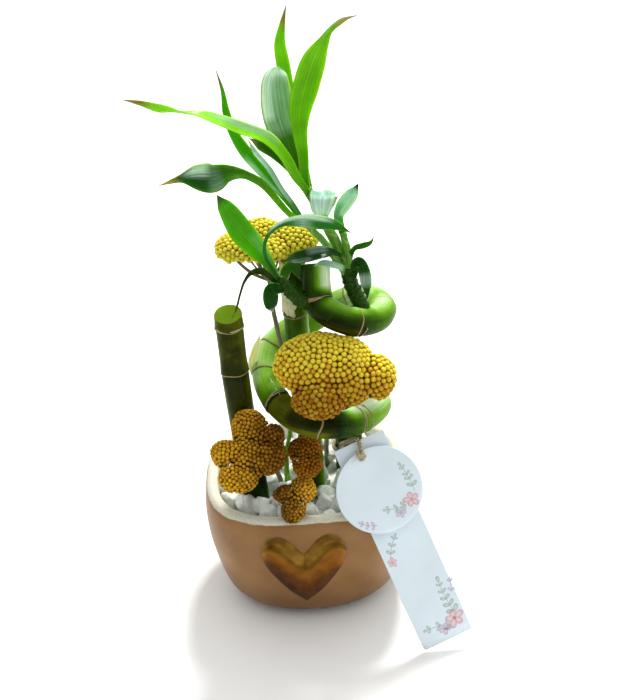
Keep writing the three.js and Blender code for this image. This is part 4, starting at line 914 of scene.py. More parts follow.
# Each leaf's finish, and its stations as (x, y, z, width, degrees that the blade is turned)
LEAVES = {
    "leaf_crown_left": ("lime", [
        (14, -2, 269, 4, 0), (10, -5, 278, 4, 10), (5, -7, 287, 6, 20), (-1, -9, 301, 8, 35),
        (-9, -11, 312, 9, 30), (-24, -16, 321, 10, 35), (-42, -21, 331, 9, 50), (-55, -24, 335, 7, 82),
        (-64, -27, 338, 6, 130), (-75, -30, 343, 3, 150), (-84, -32, 346, 1, 150)]),
    "leaf_crown_right": ("bright", [
        (11, -1, 275, 4, 0), (10, -2, 283, 5, 0), (10, 2, 293, 6, 0), (9, 4, 310, 9, 10),
        (10, 5, 322, 13, 10), (14, 6, 335, 15, 15), (19, 7, 348, 14, 20), (25, 9, 358, 8, 40),
        (29, 11, 363.6, 5.5, 60), (36, 13, 367.8, 5.5, 70), (44, 15, 369.6, 1, 70)]),
    "leaf_crown_tall": ("lime", [
        (13, -1, 270, 4, 0), (11, 7, 280, 5, 0), (8, 15, 295, 7, 0), (5, 25, 318, 7, 0),
        (2, 35, 339, 8, 0), (1, 38, 350, 6.5, 0), (3, 40, 360, 3.5, 0), (6, 42, 371, 1, 0)]),
    "leaf_crown_broad": ("broad", [
        (11, 1, 275, 4, 0), (9, 5, 281, 5, 0), (6, 7, 289, 9, 0), (2, 9, 301, 15, 0),
        (-2, 12, 314, 18, 0), (-3, 15, 326, 18, 0), (-3, 18, 333, 16, 0), (-2, 22, 337, 13, 0),
        (-1, 27, 338.5, 8, 0), (0, 32, 338, 1.5, 0)]),
    "leaf_crown_short": ("olive", [
        (15, -1, 266, 4, 0), (10, 6, 273, 4, 0), (3, 12, 283, 5, 10), (-6, 17, 292, 7, 10),
        (-14, 20, 297, 7, 10), (-21, 24, 300, 1, 10)]),
    "leaf_side_upright": ("fresh", [
        (6, -8.5, 262, 3, 0), (1, -3, 268, 4, 10), (-5, 2, 275, 5, 20), (-14, 6, 286, 7, 20),
        (-22, 10, 296, 8, 20), (-29, 14, 308, 6, 20), (-32, 17, 319, 5, 30), (-33, 20, 330, 3, 40),
        (-36, 23, 342, 1, 40)]),
    "leaf_side_strip": ("painted_silver", [
        (6, -11, 264, 3, 0), (2, -8, 271, 3, 20), (-4, -3, 279, 4, 40), (-10, 0, 290, 4.5, 40),
        (-17, 3, 299, 4, 40), (-21, 6, 307, 1, 40)]),
    "leaf_side_spoon": ("spoon", [
        (8, -13, 260, 3, 0), (0, -13.5, 267, 3.5, 0), (-6, -13, 275, 4, 10), (-14, -13, 286, 5, 20),
        (-24, -14, 293, 6, 20), (-33, -16, 295, 11, 15), (-41, -19, 294, 17, 5), (-50, -22, 296, 14, 5),
        (-58, -25, 297, 5, 10), (-65, -27, 296, 2.5, 10), (-71, -29, 295, 1, 10)]),
    "leaf_stalk_dark_tip": ("dark_tip", [
        (30, -6, 249, 4, 0), (29, -6, 254, 4.5, 0), (28, -7, 261, 6, 0), (32, -8, 269, 8.5, 10),
        (37, -9, 276, 7, 10), (40, -11, 282, 1.5, 10)]),
    "leaf_crown_pale": ("painted_silver", [
        (17, -3, 258, 3, 0), (18.5, -8, 260.5, 5.5, 0), (18.5, -10, 264, 9, 0), (18.5, -11, 268.5, 12.5, 0),
        (19, -10, 272.5, 14.5, 0), (19.5, -7, 275, 15, 0), (20, -3, 275.5, 13, 0), (20, 0, 274.5, 6, 0)]),
    "leaf_crown_small": ("bright", [
        (17, -2, 262, 3, 0), (21, 3, 262, 4, 0), (25, 6, 264, 6, 0), (29, 8, 267, 1.5, 0)]),
    "leaf_left_big": ("vivid", [
        (-9, -17, 228, 3, 0), (-14, -17, 239, 7, 0), (-20, -20, 250, 12, 0), (-27, -24, 262, 14, 0),
        (-33, -28, 276, 11, 0), (-37, -31, 285, 6, 0), (-39, -33, 290, 1, 0)]),
    "leaf_left_arch": ("arch", [
        (-7, -19, 226, 3, 10), (-12, -23, 238, 3, 20), (-15, -25, 246, 2.7, 30), (-15, -26, 255, 2.6, 40),
        (-11, -27, 263, 3, 40), (-3, -28, 268, 5, 40), (7, -29, 269, 8, 30), (17, -30, 268, 9, 30),
        (25, -31, 266, 6, 30), (34, -32, 261, 1, 30)]),
    "leaf_left_dry": ("dry", [
        (-8, -19, 224, 3, 0), (-15, -22, 234, 3.6, 0), (-19, -25, 238, 4.2, 10), (-24, -27, 238, 3, 20),
        (-28, -29, 234, 2, 30), (-31, -30, 227, 1.8, 40), (-34, -31, 218, 1.8, 40),
        (-37, -31, 212, 0.8, 40)]),
    "leaf_left_hanging": ("dark", [
        (-5, -20, 223, 4, 0), (-9, -25, 226, 6, 0), (-13, -26, 226, 8, 0), (-14, -27, 221, 9, 0),
        (-14, -27, 215, 6, 0), (-13, -26, 212, 1.5, 0)]),
    "leaf_left_back": ("olive", [
        (-7, -18, 226, 4, 0), (-4, -14, 232, 6, 0), (-1, -13, 234, 7, 10), (2, -13, 233, 8, 10),
        (5, -13, 227, 6, 10), (6, -13, 220, 1.5, 10)]),
    "leaf_right_folded": ("dark", [
        (34, -11, 222, 4, 0), (35, -16, 228, 4.5, 0), (36, -18, 235, 5.5, 10), (38, -20, 237, 6.5, 10),
        (40.5, -21, 232, 7, 10), (41.5, -22, 224, 6.5, 10), (42, -22, 214, 2, 10)]),
    "leaf_right_small": ("olive", [
        (33, -9, 230, 3, 0), (34, -11, 238, 3, 0), (36.5, -13, 243, 3, 0), (41, -14, 244.5, 4, 30),
        (45, -15, 246.5, 3.6, 30), (47.5, -16, 251, 1, 30)]),
    "leaf_right_dark": ("stalked", [
        (31, -8, 229, 2.2, 0), (29, -16, 239, 2.4, 20), (24, -19, 244, 4.5, 30), (17, -22, 246, 9, 30),
        (9, -25, 246, 9.5, 30), (2, -28, 246, 8, 30), (-4, -30, 246, 3, 30)]),
    "leaf_right_pale": ("painted_silver", [
        (32, -9, 225, 3, 0), (28, -15, 232, 4, 20), (22, -18, 236, 5, 30), (16, -20, 238, 5, 30),
        (12, -21, 237, 1.5, 30)]),
}
# Painted reflection of the sky on the wax: (half, or 0 for both; from and to along the blade; strength)
LEAF_SHEEN = {
    "leaf_crown_left": [(1, 0.3, 0.66, 0.4)],
    "leaf_crown_broad": [(0, 0.4, 1.1, 0.35), (-1, 0.5, 1.1, 1)],
    "leaf_crown_pale": [(0, 0.25, 0.8, 0.9)],
    "leaf_side_spoon": [(1, 0.64, 0.86, 0.85), (0, 0.6, 0.7, 0.5)],
    "leaf_side_strip": [(0, 0.15, 0.9, 0.5)],
    "leaf_side_upright": [(-1, 0.15, 0.5, 0.4)],
    "leaf_stalk_dark_tip": [(1, 0.3, 0.86, 0.7), (0, 0.5, 0.8, 0.4)],
    "leaf_left_arch": [(-1, 0.42, 0.88, 0.9), (0, 0.6, 0.76, 0.5)],
    "leaf_left_big": [(1, 0.1, 0.5, 0.12)],
    "leaf_left_hanging": [(0, 0.88, 1.1, 0.6)],
    "leaf_right_dark": [(1, 0.45, 0.75, 0.25)],
    "leaf_right_folded": [(0, 0.6, 0.85, 0.45)],
    "leaf_right_pale": [(0, 0.25, 1.1, 0.5)],
}
# Millimetres over which a blade draws in to its end, where it isn't the usual length
USUAL_TIP = 9
TIP_LENGTH = {"leaf_left_hanging": 4, "leaf_crown_broad": 6, "leaf_crown_pale": 3, "leaf_right_dark": 4}


def strap(stations, thickness=LEAF_THICKNESS, fold=FOLD, wave=0.02, across_count=15, step=0.8, seed=0,
          tip_length=USUAL_TIP):
    """A leaf along stations (x, y, z, width, turn). At each place the section runs from edge to edge along
    a direction square to the path and to the view, turned by turn degrees, with its middle set back by
    fold times the width, softly rounded, and ripples that grow towards the edges. The near side is one
    half of each ring and the far side the other, thickness apart in the middle and touching at the edges."""
    line = spline(stations, step=step)
    path, width, turn = line[:, :3], line[:, 3:4], np.radians(line[:, 4:5])
    s = lengths(path)[:, None]
    end = np.clip((s[-1] - s) / tip_length, 0, 1)
    width = np.maximum(width, 0.4) * (0.12 + 0.88 * end**0.6)
    along, _, _ = carried_frames(path)
    level = unit(np.cross(along, FRONT_VIEW))
    back = np.cross(along, level)
    across = (level * np.cos(turn) + back * np.sin(turn))[:, None]
    face = (back * np.cos(turn) - level * np.sin(turn))[:, None]
    v = np.linspace(1, -1, across_count)
    v = np.sign(v) * np.abs(v) ** 0.9
    rounded = (1 - np.sqrt(v * v + 0.05) + 0.05 * v * v) * fold
    ripple = wave * v**2 * (np.sin(s / 6 + seed) + 0.6 * np.sin(s / 3.1 + 2.3 * seed + 2 * v))
    lift = (rounded + ripple) * width
    thick = thickness / 2 * np.sqrt(1 - v * v)
    far, near = lift + thick, (lift - thick)[:, ::-1][:, 1:-1]
    v_near = v[::-1][1:-1]
    offset = np.concatenate([far, near], 1)[..., None]
    sideways = (np.concatenate([v, v_near]) * width / 2)[..., None]
    points = path[:, None] + across * sideways + face * offset
    near_side = np.concatenate([np.zeros(len(v)), np.ones(len(v_near))]) + 0 * s
    place = np.stack([np.concatenate([v, v_near]) + 0 * s, near_side, s + 0 * near_side], -1)
    return points, place, s / s[-1]


def leaf(name, finish, stations, seed):
    """A leaf whose near side blends from base to tip, and whose far side leans to its own green."""
    points, place, along = strap(stations, seed=seed, tip_length=TIP_LENGTH.get(name, USUAL_TIP))
    base, body, outer, tip, far = (np.array(linear(code)) for code in LEAF_FINISH[finish])
    blends = np.array([base, body, outer, outer, tip])
    tint = np.stack([np.interp(along, (0, 0.3, 0.72, 0.85, 0.93), channel) for channel in blends.T], -1)
    turned_away = 0.7 * (1 - place[..., 1:2]) * np.interp(along, (0.85, 0.93), (1, 0))[..., None]
    tint = tint[:, 0][:, None] * (1 - turned_away) + far * turned_away
    sheen = np.zeros(place.shape[:2])
    for side, start, stop, strength in LEAF_SHEEN.get(name, []):
        across = np.clip(3 * side * place[..., 0] + 0.2, 0, 1) if side else 1
        window = np.clip((along - start) / 0.08, 0, 1) * np.clip((stop - along) / 0.08, 0, 1)
        sheen = np.maximum(sheen, strength * across * window * place[..., 1])
    return closed_skin(points, place=place, tint=tint, sheen=sheen)


# Living leaf: thin enough to glow against the light, with a painted sheen, the sky's reflection on the wax
leaf_blade, tree, surface = new_finish("living_leaf")
tint = add_node(tree, "Attribute", attribute_name="tint").outputs["Color"]
on_blade = add_node(tree, "Attribute", attribute_name="place").outputs["Vector"]
spot = add_node(tree, "SeparateXYZ", {0: on_blade})
# Parallel veins: about eight across the blade, drawn in towards the tip
wander = add_node(tree, "TexNoise", {"Vector": add_node(tree, "Mapping", {
    "Vector": on_blade, "Scale": (9, 3, 0.03)}), "Scale": 1, "Detail": 3})
phase = add_node(tree, "Math", {0: spot.outputs["X"], 1: 25.0}, operation="MULTIPLY")
shifted = add_node(tree, "Math", {0: wander, 1: 5.0, 2: phase}, operation="MULTIPLY_ADD")
veins = add_node(tree, "Math", {0: shifted}, operation="SINE")
vein_share = add_node(tree, "MapRange", {"Value": veins, "From Min": -1, "From Max": 1, "To Min": 0.93,
                                         "To Max": 1.05})
middle = add_node(tree, "Math", {0: spot.outputs["X"]}, operation="ABSOLUTE")
midrib = add_node(tree, "MapRange", {"Value": middle, "From Min": 0.02, "From Max": 0.09, "To Min": 1.18,
                                     "To Max": 1})
margin = add_node(tree, "MapRange", {"Value": middle, "From Min": 0.9, "From Max": 0.99, "To Min": 1,
                                     "To Max": 0.72})
mottle = add_node(tree, "MapRange", {"Value": add_node(tree, "TexNoise", {
    "Vector": add_node(tree, "TexCoord").outputs["Object"], "Scale": 70, "Detail": 2}),
    "From Min": 0.3, "From Max": 0.7, "To Min": 0.82, "To Max": 1.15})
strength = vein_share
for share in (midrib, margin, mottle):
    strength = add_node(tree, "Math", {0: strength, 1: share}, operation="MULTIPLY")
green = add_node(tree, "VectorMath", {0: tint, "Scale": strength}, operation="SCALE").outputs[0]
# The painted sheen follows the veins too
sheen = add_node(tree, "Attribute", attribute_name="sheen").outputs["Fac"]
combed = add_node(tree, "MapRange", {"Value": wander, "From Min": 0.35, "From Max": 0.65, "To Min": 0.35,
                                     "To Max": 1.1})
painted_sheen = add_node(tree, "Math", {0: sheen, 1: combed}, operation="MULTIPLY", use_clamp=True)
colour = add_node(tree, "Mix", {0: painted_sheen, 6: green, 7: linear("#cfe6de")}, data_type="RGBA").outputs[2]
veined = add_node(tree, "Bump", {"Height": veins, "Strength": 0.14, "Distance": 0.0003})
wire(tree, surface, {
    "Base Color": colour, "Roughness": 0.32, "Normal": veined, "Subsurface Weight": 0.45,
    "Subsurface Radius": (0.7, 1, 0.1), "Subsurface Scale": 0.0015, "Coat Weight": 0.07,
    "Coat Roughness": 0.15, "Specular IOR Level": 0.03})
for number, (name, (finish, stations)) in enumerate(LEAVES.items()):
    blade = leaf(name, finish, stations, number)
    add_piece(name.replace("leaf", "strap_leaf"), [blade], leaf_blade, [name])

# Sheaths: papery dried wraps left where old leaves clasped the canes, cream to tan, torn along their
# edges. One stands beside the spiral, two hug the middle cane, and strips cling to the others' nodes.
SCRAP = [(-28, 0, 156, 5, 0), (-28.5, 1, 163, 6, 0), (-26.5, 2, 170, 5.5, 0), (-22.5, 4, 182, 1.5, 0)]
WRAP_HALF_THICKNESS = 0.16
# Wraps: from and to along the cane, the direction of their middle, half their reach in degrees, lift
WRAPS = {
    "centre": [(189, 204, (-1, -0.5, 0.1), 40, 0.5), (169, 184, (-0.9, -0.8, 0), 46, 0.35)],
    "spiral": [
        (140.4, 141.8, (0, -0.87, 0.49), 120, 0.4), (145.3, 146.2, (0, -0.87, 0.49), 150, 0.35),
        (203.4, 204.6, (-0.6, -0.7, 0.5), 85, 0.35), (373.4, 374.4, (0.2, -0.7, -0.6), 50, 0.35),
        (402.5, 404.4, (0, -0.6, 0.7), 110, 0.4)],
    "left": [(168.6, 170.2, (0.2, -0.9, 0.3), 100, 0.35)],
}


def wrap_strip(name, start, stop, middle, reach, lift, age, across_count=26, step=0.5):
    """A thin shell that lies on a cane: an arc of the cane's ring on either side of middle, reach degrees
    each way, that narrows unevenly along its length as torn paper does and stands off by lift."""
    path = spline(CANES[name], step=step)
    s = lengths(path)
    along, side, other = (v[(s >= start) & (s <= stop)] for v in carried_frames(path))
    path, s = path[(s >= start) & (s <= stop)], s[(s >= start) & (s <= stop)][:, None]
    centre = np.arctan2(other @ middle, side @ middle)[:, None]
    torn = 1 + 0.16 * np.sin(0.33 * s) + 0.09 * np.sin(0.93 * s + 1) + 0.04 * np.sin(3.1 * s + 2)
    v = np.linspace(1, -1, across_count)
    a = centre + v * np.radians(reach) * torn
    curl = lift + 0.5 * lift * v**4 + 0.12 * np.sin(5 * v + s)
    outer, inner = curl + WRAP_HALF_THICKNESS, (curl - WRAP_HALF_THICKNESS)[:, ::-1]
    a = np.concatenate([a[:, ::-1], a], 1)
    radius = CANE_RADIUS[name] + np.concatenate([outer[:, ::-1], inner[:, ::-1]], 1)
    points = path[:, None] + radius[..., None] * outwards(a, side, other)
    # Both ends are ragged: places near them slide along the cane in uneven teeth
    end_share = np.abs(np.linspace(-1, 1, len(s)))[:, None] ** 2
    teeth = 0.6 * np.sin(4 * a + start) + 0.3 * np.sin(11 * a + 2 * start) + 0.2 * np.sin(23 * a)
    points += (teeth * end_share * min(1.6, 0.12 * (stop - start) + 0.4))[..., None] * along[:, None]
    grain = np.stack([radius * np.cos(a), radius * np.sin(a), s + 0 * a], -1)
    return closed_skin(points, grain=grain, age=np.full(a.shape, age))


# Papery sheath: dry, thin and fibrous, so the light glows through it; cream when young, tan with age
paper_sheath, tree, surface, streaks, pale, fibrous = fibrous_finish(
    "dried_papery_sheath", (2.5, 2.5, 0.12),
    [(0.3, "#c2c878"), (0.75, "#fafbd8"), (0.5, "#e4e8ac")], 0.5, detail=4)
brown = add_node(tree, "ValToRGB", {"Fac": streaks},
                 stops=[(0.3, "#3c2a14"), (0.75, "#b8996a"), (0.5, "#7c5f38")])
age = add_node(tree, "Attribute", attribute_name="age").outputs["Fac"]
colour = add_node(tree, "Mix", {0: age, 6: pale, 7: brown}, data_type="RGBA").outputs[2]
wire(tree, surface, {
    "Base Color": colour, "Roughness": 0.75, "Normal": fibrous, "Subsurface Weight": 0.5,
    "Subsurface Radius": (1, 1, 0.6), "Subsurface Scale": 0.002})
scrap_points, scrap_place, _ = strap(SCRAP, thickness=0.5, fold=0.2, wave=0.04)
scrap = closed_skin(scrap_points, grain=scrap_place * (3, 1, 1), age=0 * scrap_place[..., 0])
add_piece("standing_scrap", [scrap], paper_sheath, ["sheath_blade"])
for cane_name, piece, age, stood_for in (
        ("centre", "centre_cane_wraps", 0.1, ["sheath_centre"]), ("spiral", "spiral_cane_wraps", 0.88, []),
        ("left", "left_cane_wrap", 0.6, [])):
    strips = [wrap_strip(cane_name, *wrap, age) for wrap in WRAPS[cane_name]]
    add_piece(piece, strips, paper_sheath, stood_for)

# Tags: two punched cards of pale blue-white paper board, a long one that leans on the pot and a round
# one hung in front of it. They are printed with soft sprigs of leaves and small round blossoms.
CARD_WIDTH, CARD_LENGTH, CARD_CORNER, UPPER_CORNER = 32.85, 138, 2, 0.5
# The board's thickness, and how far its face stands out in front of the plane it is placed by
BOARD, FACE_HEIGHT = 0.5, 0.7
CARD = {"origin": (65.3, -87, 0.5), "azimuth": 5.7, "lean": 23.3, "roll": 18.3, "hole": (14.4, 129.5)}
ROUND_RADIUS = 26.8
ROUND_TAG = {"origin": (43.4, -50.3, 98.2), "azimuth": 8, "lean": 26, "roll": 0, "hole": (-8.7, 21.4)}
HOLE_RADIUS, RIM_SOFTNESS, LINE_POINTS = 2.2, 0.06, 30


def lean_back(points, origin, azimuth, lean, roll):
    """Flat (across, up the face, towards the viewer) as it stands: rolled in its plane, tipped back and
    turned."""
    placing = (Matrix.Rotation(math.radians(azimuth), 3, "Z")
               @ Matrix.Rotation(math.radians(90 - lean), 3, "X")
               @ Matrix.Rotation(math.radians(roll), 3, "Z"))
    return np.asarray(points) @ np.array(placing).T + origin


def card_outline(count=300):
    """Even places round a rectangle whose lower corners are rounded and whose upper ones nearly square."""
    quarter = np.linspace(0, np.pi / 2, 8)
    path = []
    for x, y, start, r in (
            (CARD_WIDTH, 0, -np.pi / 2, CARD_CORNER), (CARD_WIDTH, CARD_LENGTH, 0, UPPER_CORNER),
            (0, CARD_LENGTH, np.pi / 2, UPPER_CORNER), (0, 0, np.pi, CARD_CORNER)):
        middle = (x - math.copysign(r, x - 1), y - math.copysign(r, y - 1))
        path += [(middle[0] + r * math.cos(start + q), middle[1] + r * math.sin(start + q)) for q in quarter]
    path = np.array(path + path[:1])
    s = lengths(path)
    t = np.linspace(0, s[-1], count, endpoint=False)
    return np.stack([np.interp(t, s, path[:, 0]), np.interp(t, s, path[:, 1])], -1)


def punched_board(outline, hole, bow):
    """A sheet with a round hole: lines run from the hole's edge straight out to the outline, on the near
    face and back on the far one. bow gives how far each place stands out of the flat."""
    hole = np.array(hole)
    rim = hole + HOLE_RADIUS * unit(outline - hole)
    t = np.linspace(0, 1, LINE_POINTS)[None, :, None] ** 1.3
    flat = rim[:, None] * (1 - t) + outline[:, None] * t
    inset = np.array([RIM_SOFTNESS] + [0] * (LINE_POINTS - 2) + [RIM_SOFTNESS])
    near = np.dstack([flat, bow(*flat.transpose(2, 0, 1)) + FACE_HEIGHT - inset])
    far = np.dstack([flat, bow(*flat.transpose(2, 0, 1)) + FACE_HEIGHT - BOARD + inset])
    ring = np.concatenate([near, far[:, ::-1]], 1)
    ring = np.concatenate([ring, ring[:1]])
    sides = ring.shape[1]
    faces = np.array(ring_faces(len(ring), sides, capped=False)) % ((len(ring) - 1) * sides)
    return ring[:-1], faces[:, ::-1].tolist()


def card_bow(x, y):
    """The long card curls a little forward along its sides and dips towards the middle of its length."""
    return 0.35 * ((x / CARD_WIDTH - 0.5) * 2) ** 2 * np.sin(np.pi * np.clip(y / CARD_LENGTH, 0, 1)) - 0.1


def round_bow(x, y):
    """The round tag is dished very slightly, and its top left lifts where the twine pulls it."""
    pulled = np.exp(-(((x + 17) ** 2 + (y - 17) ** 2) / 60))
    return 0.5 * (x * x + y * y) / ROUND_RADIUS**2 - 0.4 + 0.9 * pulled


def stamp(outline, centre, sink=0.1, proud=0.04):
    """A printed shape as a very thin closed slab: rings shrink from the outline to its centre on top, and
    again below, where they are sunk in the board. Gives (across, up, height) and how near the edge each
    is."""
    rings = [(0.02, proud), (0.55, proud), (0.88, proud), (1, proud * 0.6), (1, -sink), (0.02, -sink)]
    outline, centre = np.asarray(outline), np.asarray(centre)
    points = np.array([np.column_stack([centre + share * (outline - centre), np.full(len(outline), z)])
                       for share, z in rings])
    edge = np.array([share for share, _ in rings])[:, None] + np.zeros(len(outline))
    return points, ring_faces(len(rings), len(outline)), edge


def petal_outline(place, heading, length, width, sides=18, blunt=0.25):
    """An egg shape that starts at place and points along heading, in degrees."""
    t = ring_angles(sides)
    along = length * (0.5 - 0.5 * np.cos(t))
    across = width / 2 * np.sin(t) * (1 - blunt * np.cos(t))
    c, s = math.cos(math.radians(heading)), math.sin(math.radians(heading))
    return np.stack([place[0] + along * c - across * s, place[1] + along * s + across * c], -1)


def blossom(place, size, turn, pale, deep, heart, petals=5):
    """Petals round a small yellow eye, as (outline, centre, middle colour, edge colour)."""
    shapes = []
    for i in range(petals):
        heading = turn + 360 / petals * i
        reach = size * (0.94 + 0.1 * math.sin(2.3 * i + turn))
        outline = petal_outline(place, heading, reach, size * 0.62)
        shapes.append((outline, outline.mean(0), pale, deep))
    eye = petal_outline((place[0] - size * 0.17, place[1]), 0, size * 0.34, size * 0.34, 12, 0)
    return shapes + [(eye, eye.mean(0), heart, "#b8923c")]


def sprig(start, heading, length, bend, leaf_size, pale, deep, pairs=4):
    """A stem that curves by bend degrees over its length, with a round leaf each side at even steps and
    one at its end."""
    shapes = []
    t = np.linspace(0, 1, 12)
    turned = np.radians(heading + bend * t)
    step = length / (len(t) - 1)
    line = np.array(start) + np.cumsum(np.stack([np.cos(turned), np.sin(turned)], -1) * step, 0)
    for i in range(len(t) - 1):
        half = 0.16 * np.array([-math.sin(turned[i]), math.cos(turned[i])])
        box = np.array([line[i] + half, line[i] - half, line[i + 1] - half, line[i + 1] + half])
        shapes.append((box, box.mean(0), deep, deep))
    for i in range(pairs):
        at = 2 + round(i * (len(t) - 4) / max(1, pairs - 1))
        size = leaf_size * (1 - 0.12 * i)
        for side in (-1, 1):
            outline = petal_outline(line[at], math.degrees(turned[at]) + side * 52, size, size * 0.55, 14)
            shapes.append((outline, outline.mean(0), pale, deep))
    tip = petal_outline(line[-1], math.degrees(turned[-1]), leaf_size * 0.8, leaf_size * 0.45, 14)
    return shapes + [(tip, tip.mean(0), pale, deep)]


ROSE, LILAC, SAGE = ("#efd6dc", "#cf9fac"), ("#e2dae8", "#b9a6c4"), ("#cfdcda", "#a0b4b0")
EYE_YELLOW = "#d8bd62"
CARD_PRINT = (
    sprig((29, 8), 108, 26, -22, 5.2, *SAGE, pairs=5) + sprig((25, 6), 150, 17, 26, 4, *SAGE, pairs=3)
    + sprig((29.5, 26), 60, 8, 20, 2.8, *LILAC, pairs=2)
    + blossom((25.5, 11), 6.6, 20, *ROSE, EYE_YELLOW) + blossom((17, 7.5), 4.2, 50, *LILAC, EYE_YELLOW)
    + sprig((4.5, 62), 70, 13, -25, 3.4, *SAGE, pairs=3) + blossom((4.6, 60), 3.4, 5, *ROSE, EYE_YELLOW))
ROUND_PRINT = (
    sprig((21.5, -5), 100, 17, 22, 4, *SAGE, pairs=4) + sprig((18, -10), 205, 14, -28, 3.6, *SAGE, pairs=3)
    + blossom((18.8, -8.6), 5.4, 35, *ROSE, EYE_YELLOW) + blossom((11.2, -15.6), 3.6, 0, *LILAC, EYE_YELLOW)
    + sprig((-3, -21), 188, 10, -38, 3, *LILAC, pairs=3))
PAPER = "#e4f3fb"


def stand(points, tag):
    """A tag's flat points where that tag stands."""
    return lean_back(points, tag["origin"], tag["azimuth"], tag["lean"], tag["roll"])


def tinted(shape, edge):
    """Colours that run from a printed shape's middle to its edge."""
    pale, deep = (np.array(linear(code)) for code in shape[2:])
    share = np.clip((edge - 0.4) / 0.6, 0, 1)[..., None]
    return pale * (1 - share) + deep * share


# Printed board: smooth matt paper with a fine tooth, and ink that dries into it without a shine
board, tree, surface = new_finish("smooth_printed_board")
place = add_node(tree, "TexCoord").outputs["Object"]
uneven = add_node(tree, "TexNoise", {"Vector": place, "Scale": 30, "Detail": 3})
clouds = add_node(tree, "MapRange", {
    "Value": uneven, "From Min": 0.3, "From Max": 0.7, "To Min": 0.93, "To Max": 1.03})
ink = add_node(tree, "Attribute", attribute_name="ink").outputs["Color"]
colour = add_node(tree, "VectorMath", {0: ink, "Scale": clouds}, operation="SCALE")
pulp = add_node(tree, "TexNoise", {"Vector": place, "Scale": 1400, "Detail": 3})
tooth = add_node(tree, "Bump", {"Height": pulp, "Strength": 0.08, "Distance": 0.0002})
wire(tree, surface, {"Base Color": colour, "Roughness": 0.5, "Normal": tooth})

angle = ring_angles(200)
round_outline = ROUND_RADIUS * np.stack([np.cos(angle), np.sin(angle)], -1)
for node, name, outline, tag, bow, print_shapes in (
        ("tag_card", "long_card", card_outline(), CARD, card_bow, CARD_PRINT),
        ("tag_round", "round_card", round_outline, ROUND_TAG, round_bow, ROUND_PRINT)):
    sheet, faces = punched_board(outline, tag["hole"], bow)
    parts = [(stand(sheet, tag), faces, {"ink": np.full(sheet.shape[:2] + (4,), linear(PAPER))})]
    for shape in print_shapes:
        slab, faces, edge = stamp(shape[0], shape[1])
        slab[..., 2] += bow(slab[..., 0], slab[..., 1]) + FACE_HEIGHT
        parts.append((stand(slab, tag), faces, {"ink": tinted(shape, edge)}))
    add_piece(name, parts, board, [node])

# Twine: hairy jute of two plies, each a millimetre and a half thick. It is knotted round the foot of the
# spiral cane, runs forward through both tags and ends in a knot with short frayed tails.
PLY_RADIUS, TWINE_PITCH, FIBRE_RADIUS, FIBRE_SPACING = 0.68, 4.4, 0.09, 0.8
# Knots as (centre, half size, tip in radians)
TWINE_KNOTS = [((30, -2.5, 94), 2.6, 0.4), ((33.7, -44.4, 119.6), 1.5, 1.1)]
LOOP_CENTRE, LOOP_RADIUS = (28.4, 8, 94), 9.7
TWINE_STRAND = [(30, -1, 94), (31, -12, 97), (32, -26, 107), (33.2, -37, 115.5), (33.5, -40.5, 117.3),
                (34, -45.4, 118)]
# Back from the hole over both tags' upper edges and down behind them to the cane
TWINE_RETURN = [(33.8, -44.4, 118.2), (33.6, -43.4, 121), (33.2, -40.6, 123.8), (32.4, -37.2, 126.3),
                (30.6, -34.2, 125.6), (27.4, -28, 120), (23.6, -16, 110.5), (23, -6, 101.5), (24, -2, 95)]
TWINE_TAILS = [[(30, -2, 94), (33, -6, 92), (37, -9, 88)], [(30, -2, 94), (27, -6, 93), (24, -10, 90)],
               [(33.8, -44, 120), (31.8, -46, 121.5), (30.5, -45.5, 124)]]
hairs = np.random.default_rng(29)


def loop_path(centre, radius, count=40):
    """A ring round the cane that overlaps itself by a few degrees, a little tilted."""
    t = np.linspace(-0.1, 2 * np.pi + 0.05, count)
    ring = np.stack([radius * np.sin(t), -radius * np.cos(t), 1.2 * np.sin(t) + 0.12 * t], -1)
    return np.array(centre) + ring


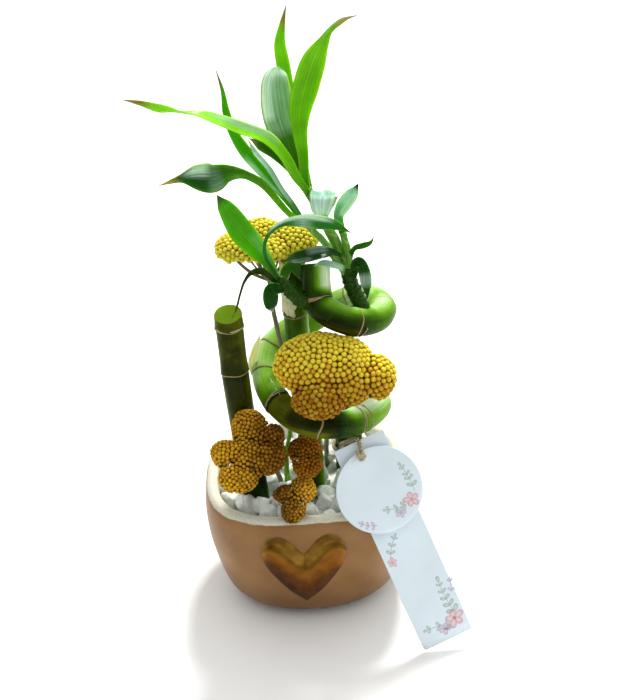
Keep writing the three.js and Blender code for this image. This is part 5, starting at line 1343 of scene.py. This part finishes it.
def knot_path(centre, size, tilt, count=60):
    """A trefoil, the plainest closed knot: (sin t + 2 sin 2t, cos t - 2 cos 2t, -sin 3t), tipped by tilt."""
    t = np.linspace(0, 2 * np.pi, count)
    curve = np.stack([np.sin(t) + 2 * np.sin(2 * t), 0.9 * np.sin(3 * t), np.cos(t) - 2 * np.cos(2 * t)], -1)
    turn = np.array(Matrix.Rotation(tilt, 3, (0.3, 1, 0.2)))
    return np.array(centre) + size / 3 * curve @ turn.T


def twine(path, plies=2):
    """Plies carried round the path, each at its own radius from it and half a turn from its neighbour,
    with fibres that leave them at a slant."""
    path = spline(path, step=0.35)
    s = lengths(path)
    _, side, other = carried_frames(path)
    parts = []
    for i in range(plies):
        a = 2 * np.pi * (s / TWINE_PITCH + i / plies)[:, None]
        out = np.cos(a) * side + np.sin(a) * other
        points, grain = tube(path + PLY_RADIUS * out, PLY_RADIUS * 1.08, 9)
        parts.append(closed_skin(points, grain=grain))
        for _ in range(max(2, int(s[-1] / FIBRE_SPACING))):
            at = hairs.integers(0, len(path))
            away = unit(hairs.normal(size=3))
            start = path[at] + PLY_RADIUS * out[at]
            reach = hairs.uniform(1.2, 3.4)
            t = np.linspace(0, 1, 5)[:, None]
            fibre = start + reach * (away * t + 0.4 * hairs.normal(size=3) * t * t)
            points, grain = tube(fibre, FIBRE_RADIUS * (1.1 - t), 3)
            parts.append(closed_skin(points, grain=grain))
    return parts


# Jute: dull straw-brown fibres, spun at a slant, with no gloss at all
jute, tree, surface, streaks, colour, strands = fibrous_finish(
    "hairy_jute", (5, 5, 0.6), [(0.3, "#7c6c4c"), (0.7, "#dcd0b0")], 0.8, detail=4, slant=0.5)
wire(tree, surface, {"Base Color": colour, "Roughness": 0.9, "Normal": strands})
twine_paths = [loop_path(LOOP_CENTRE, LOOP_RADIUS), TWINE_STRAND, TWINE_RETURN]
twine_paths += [knot_path(*knot) for knot in TWINE_KNOTS] + TWINE_TAILS
twine_parts = [part for path in twine_paths for part in twine(path)]
add_piece("jute_twine", twine_parts, jute, ["twine"])

# The box round every piece that renders, apart from the table
low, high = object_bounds()
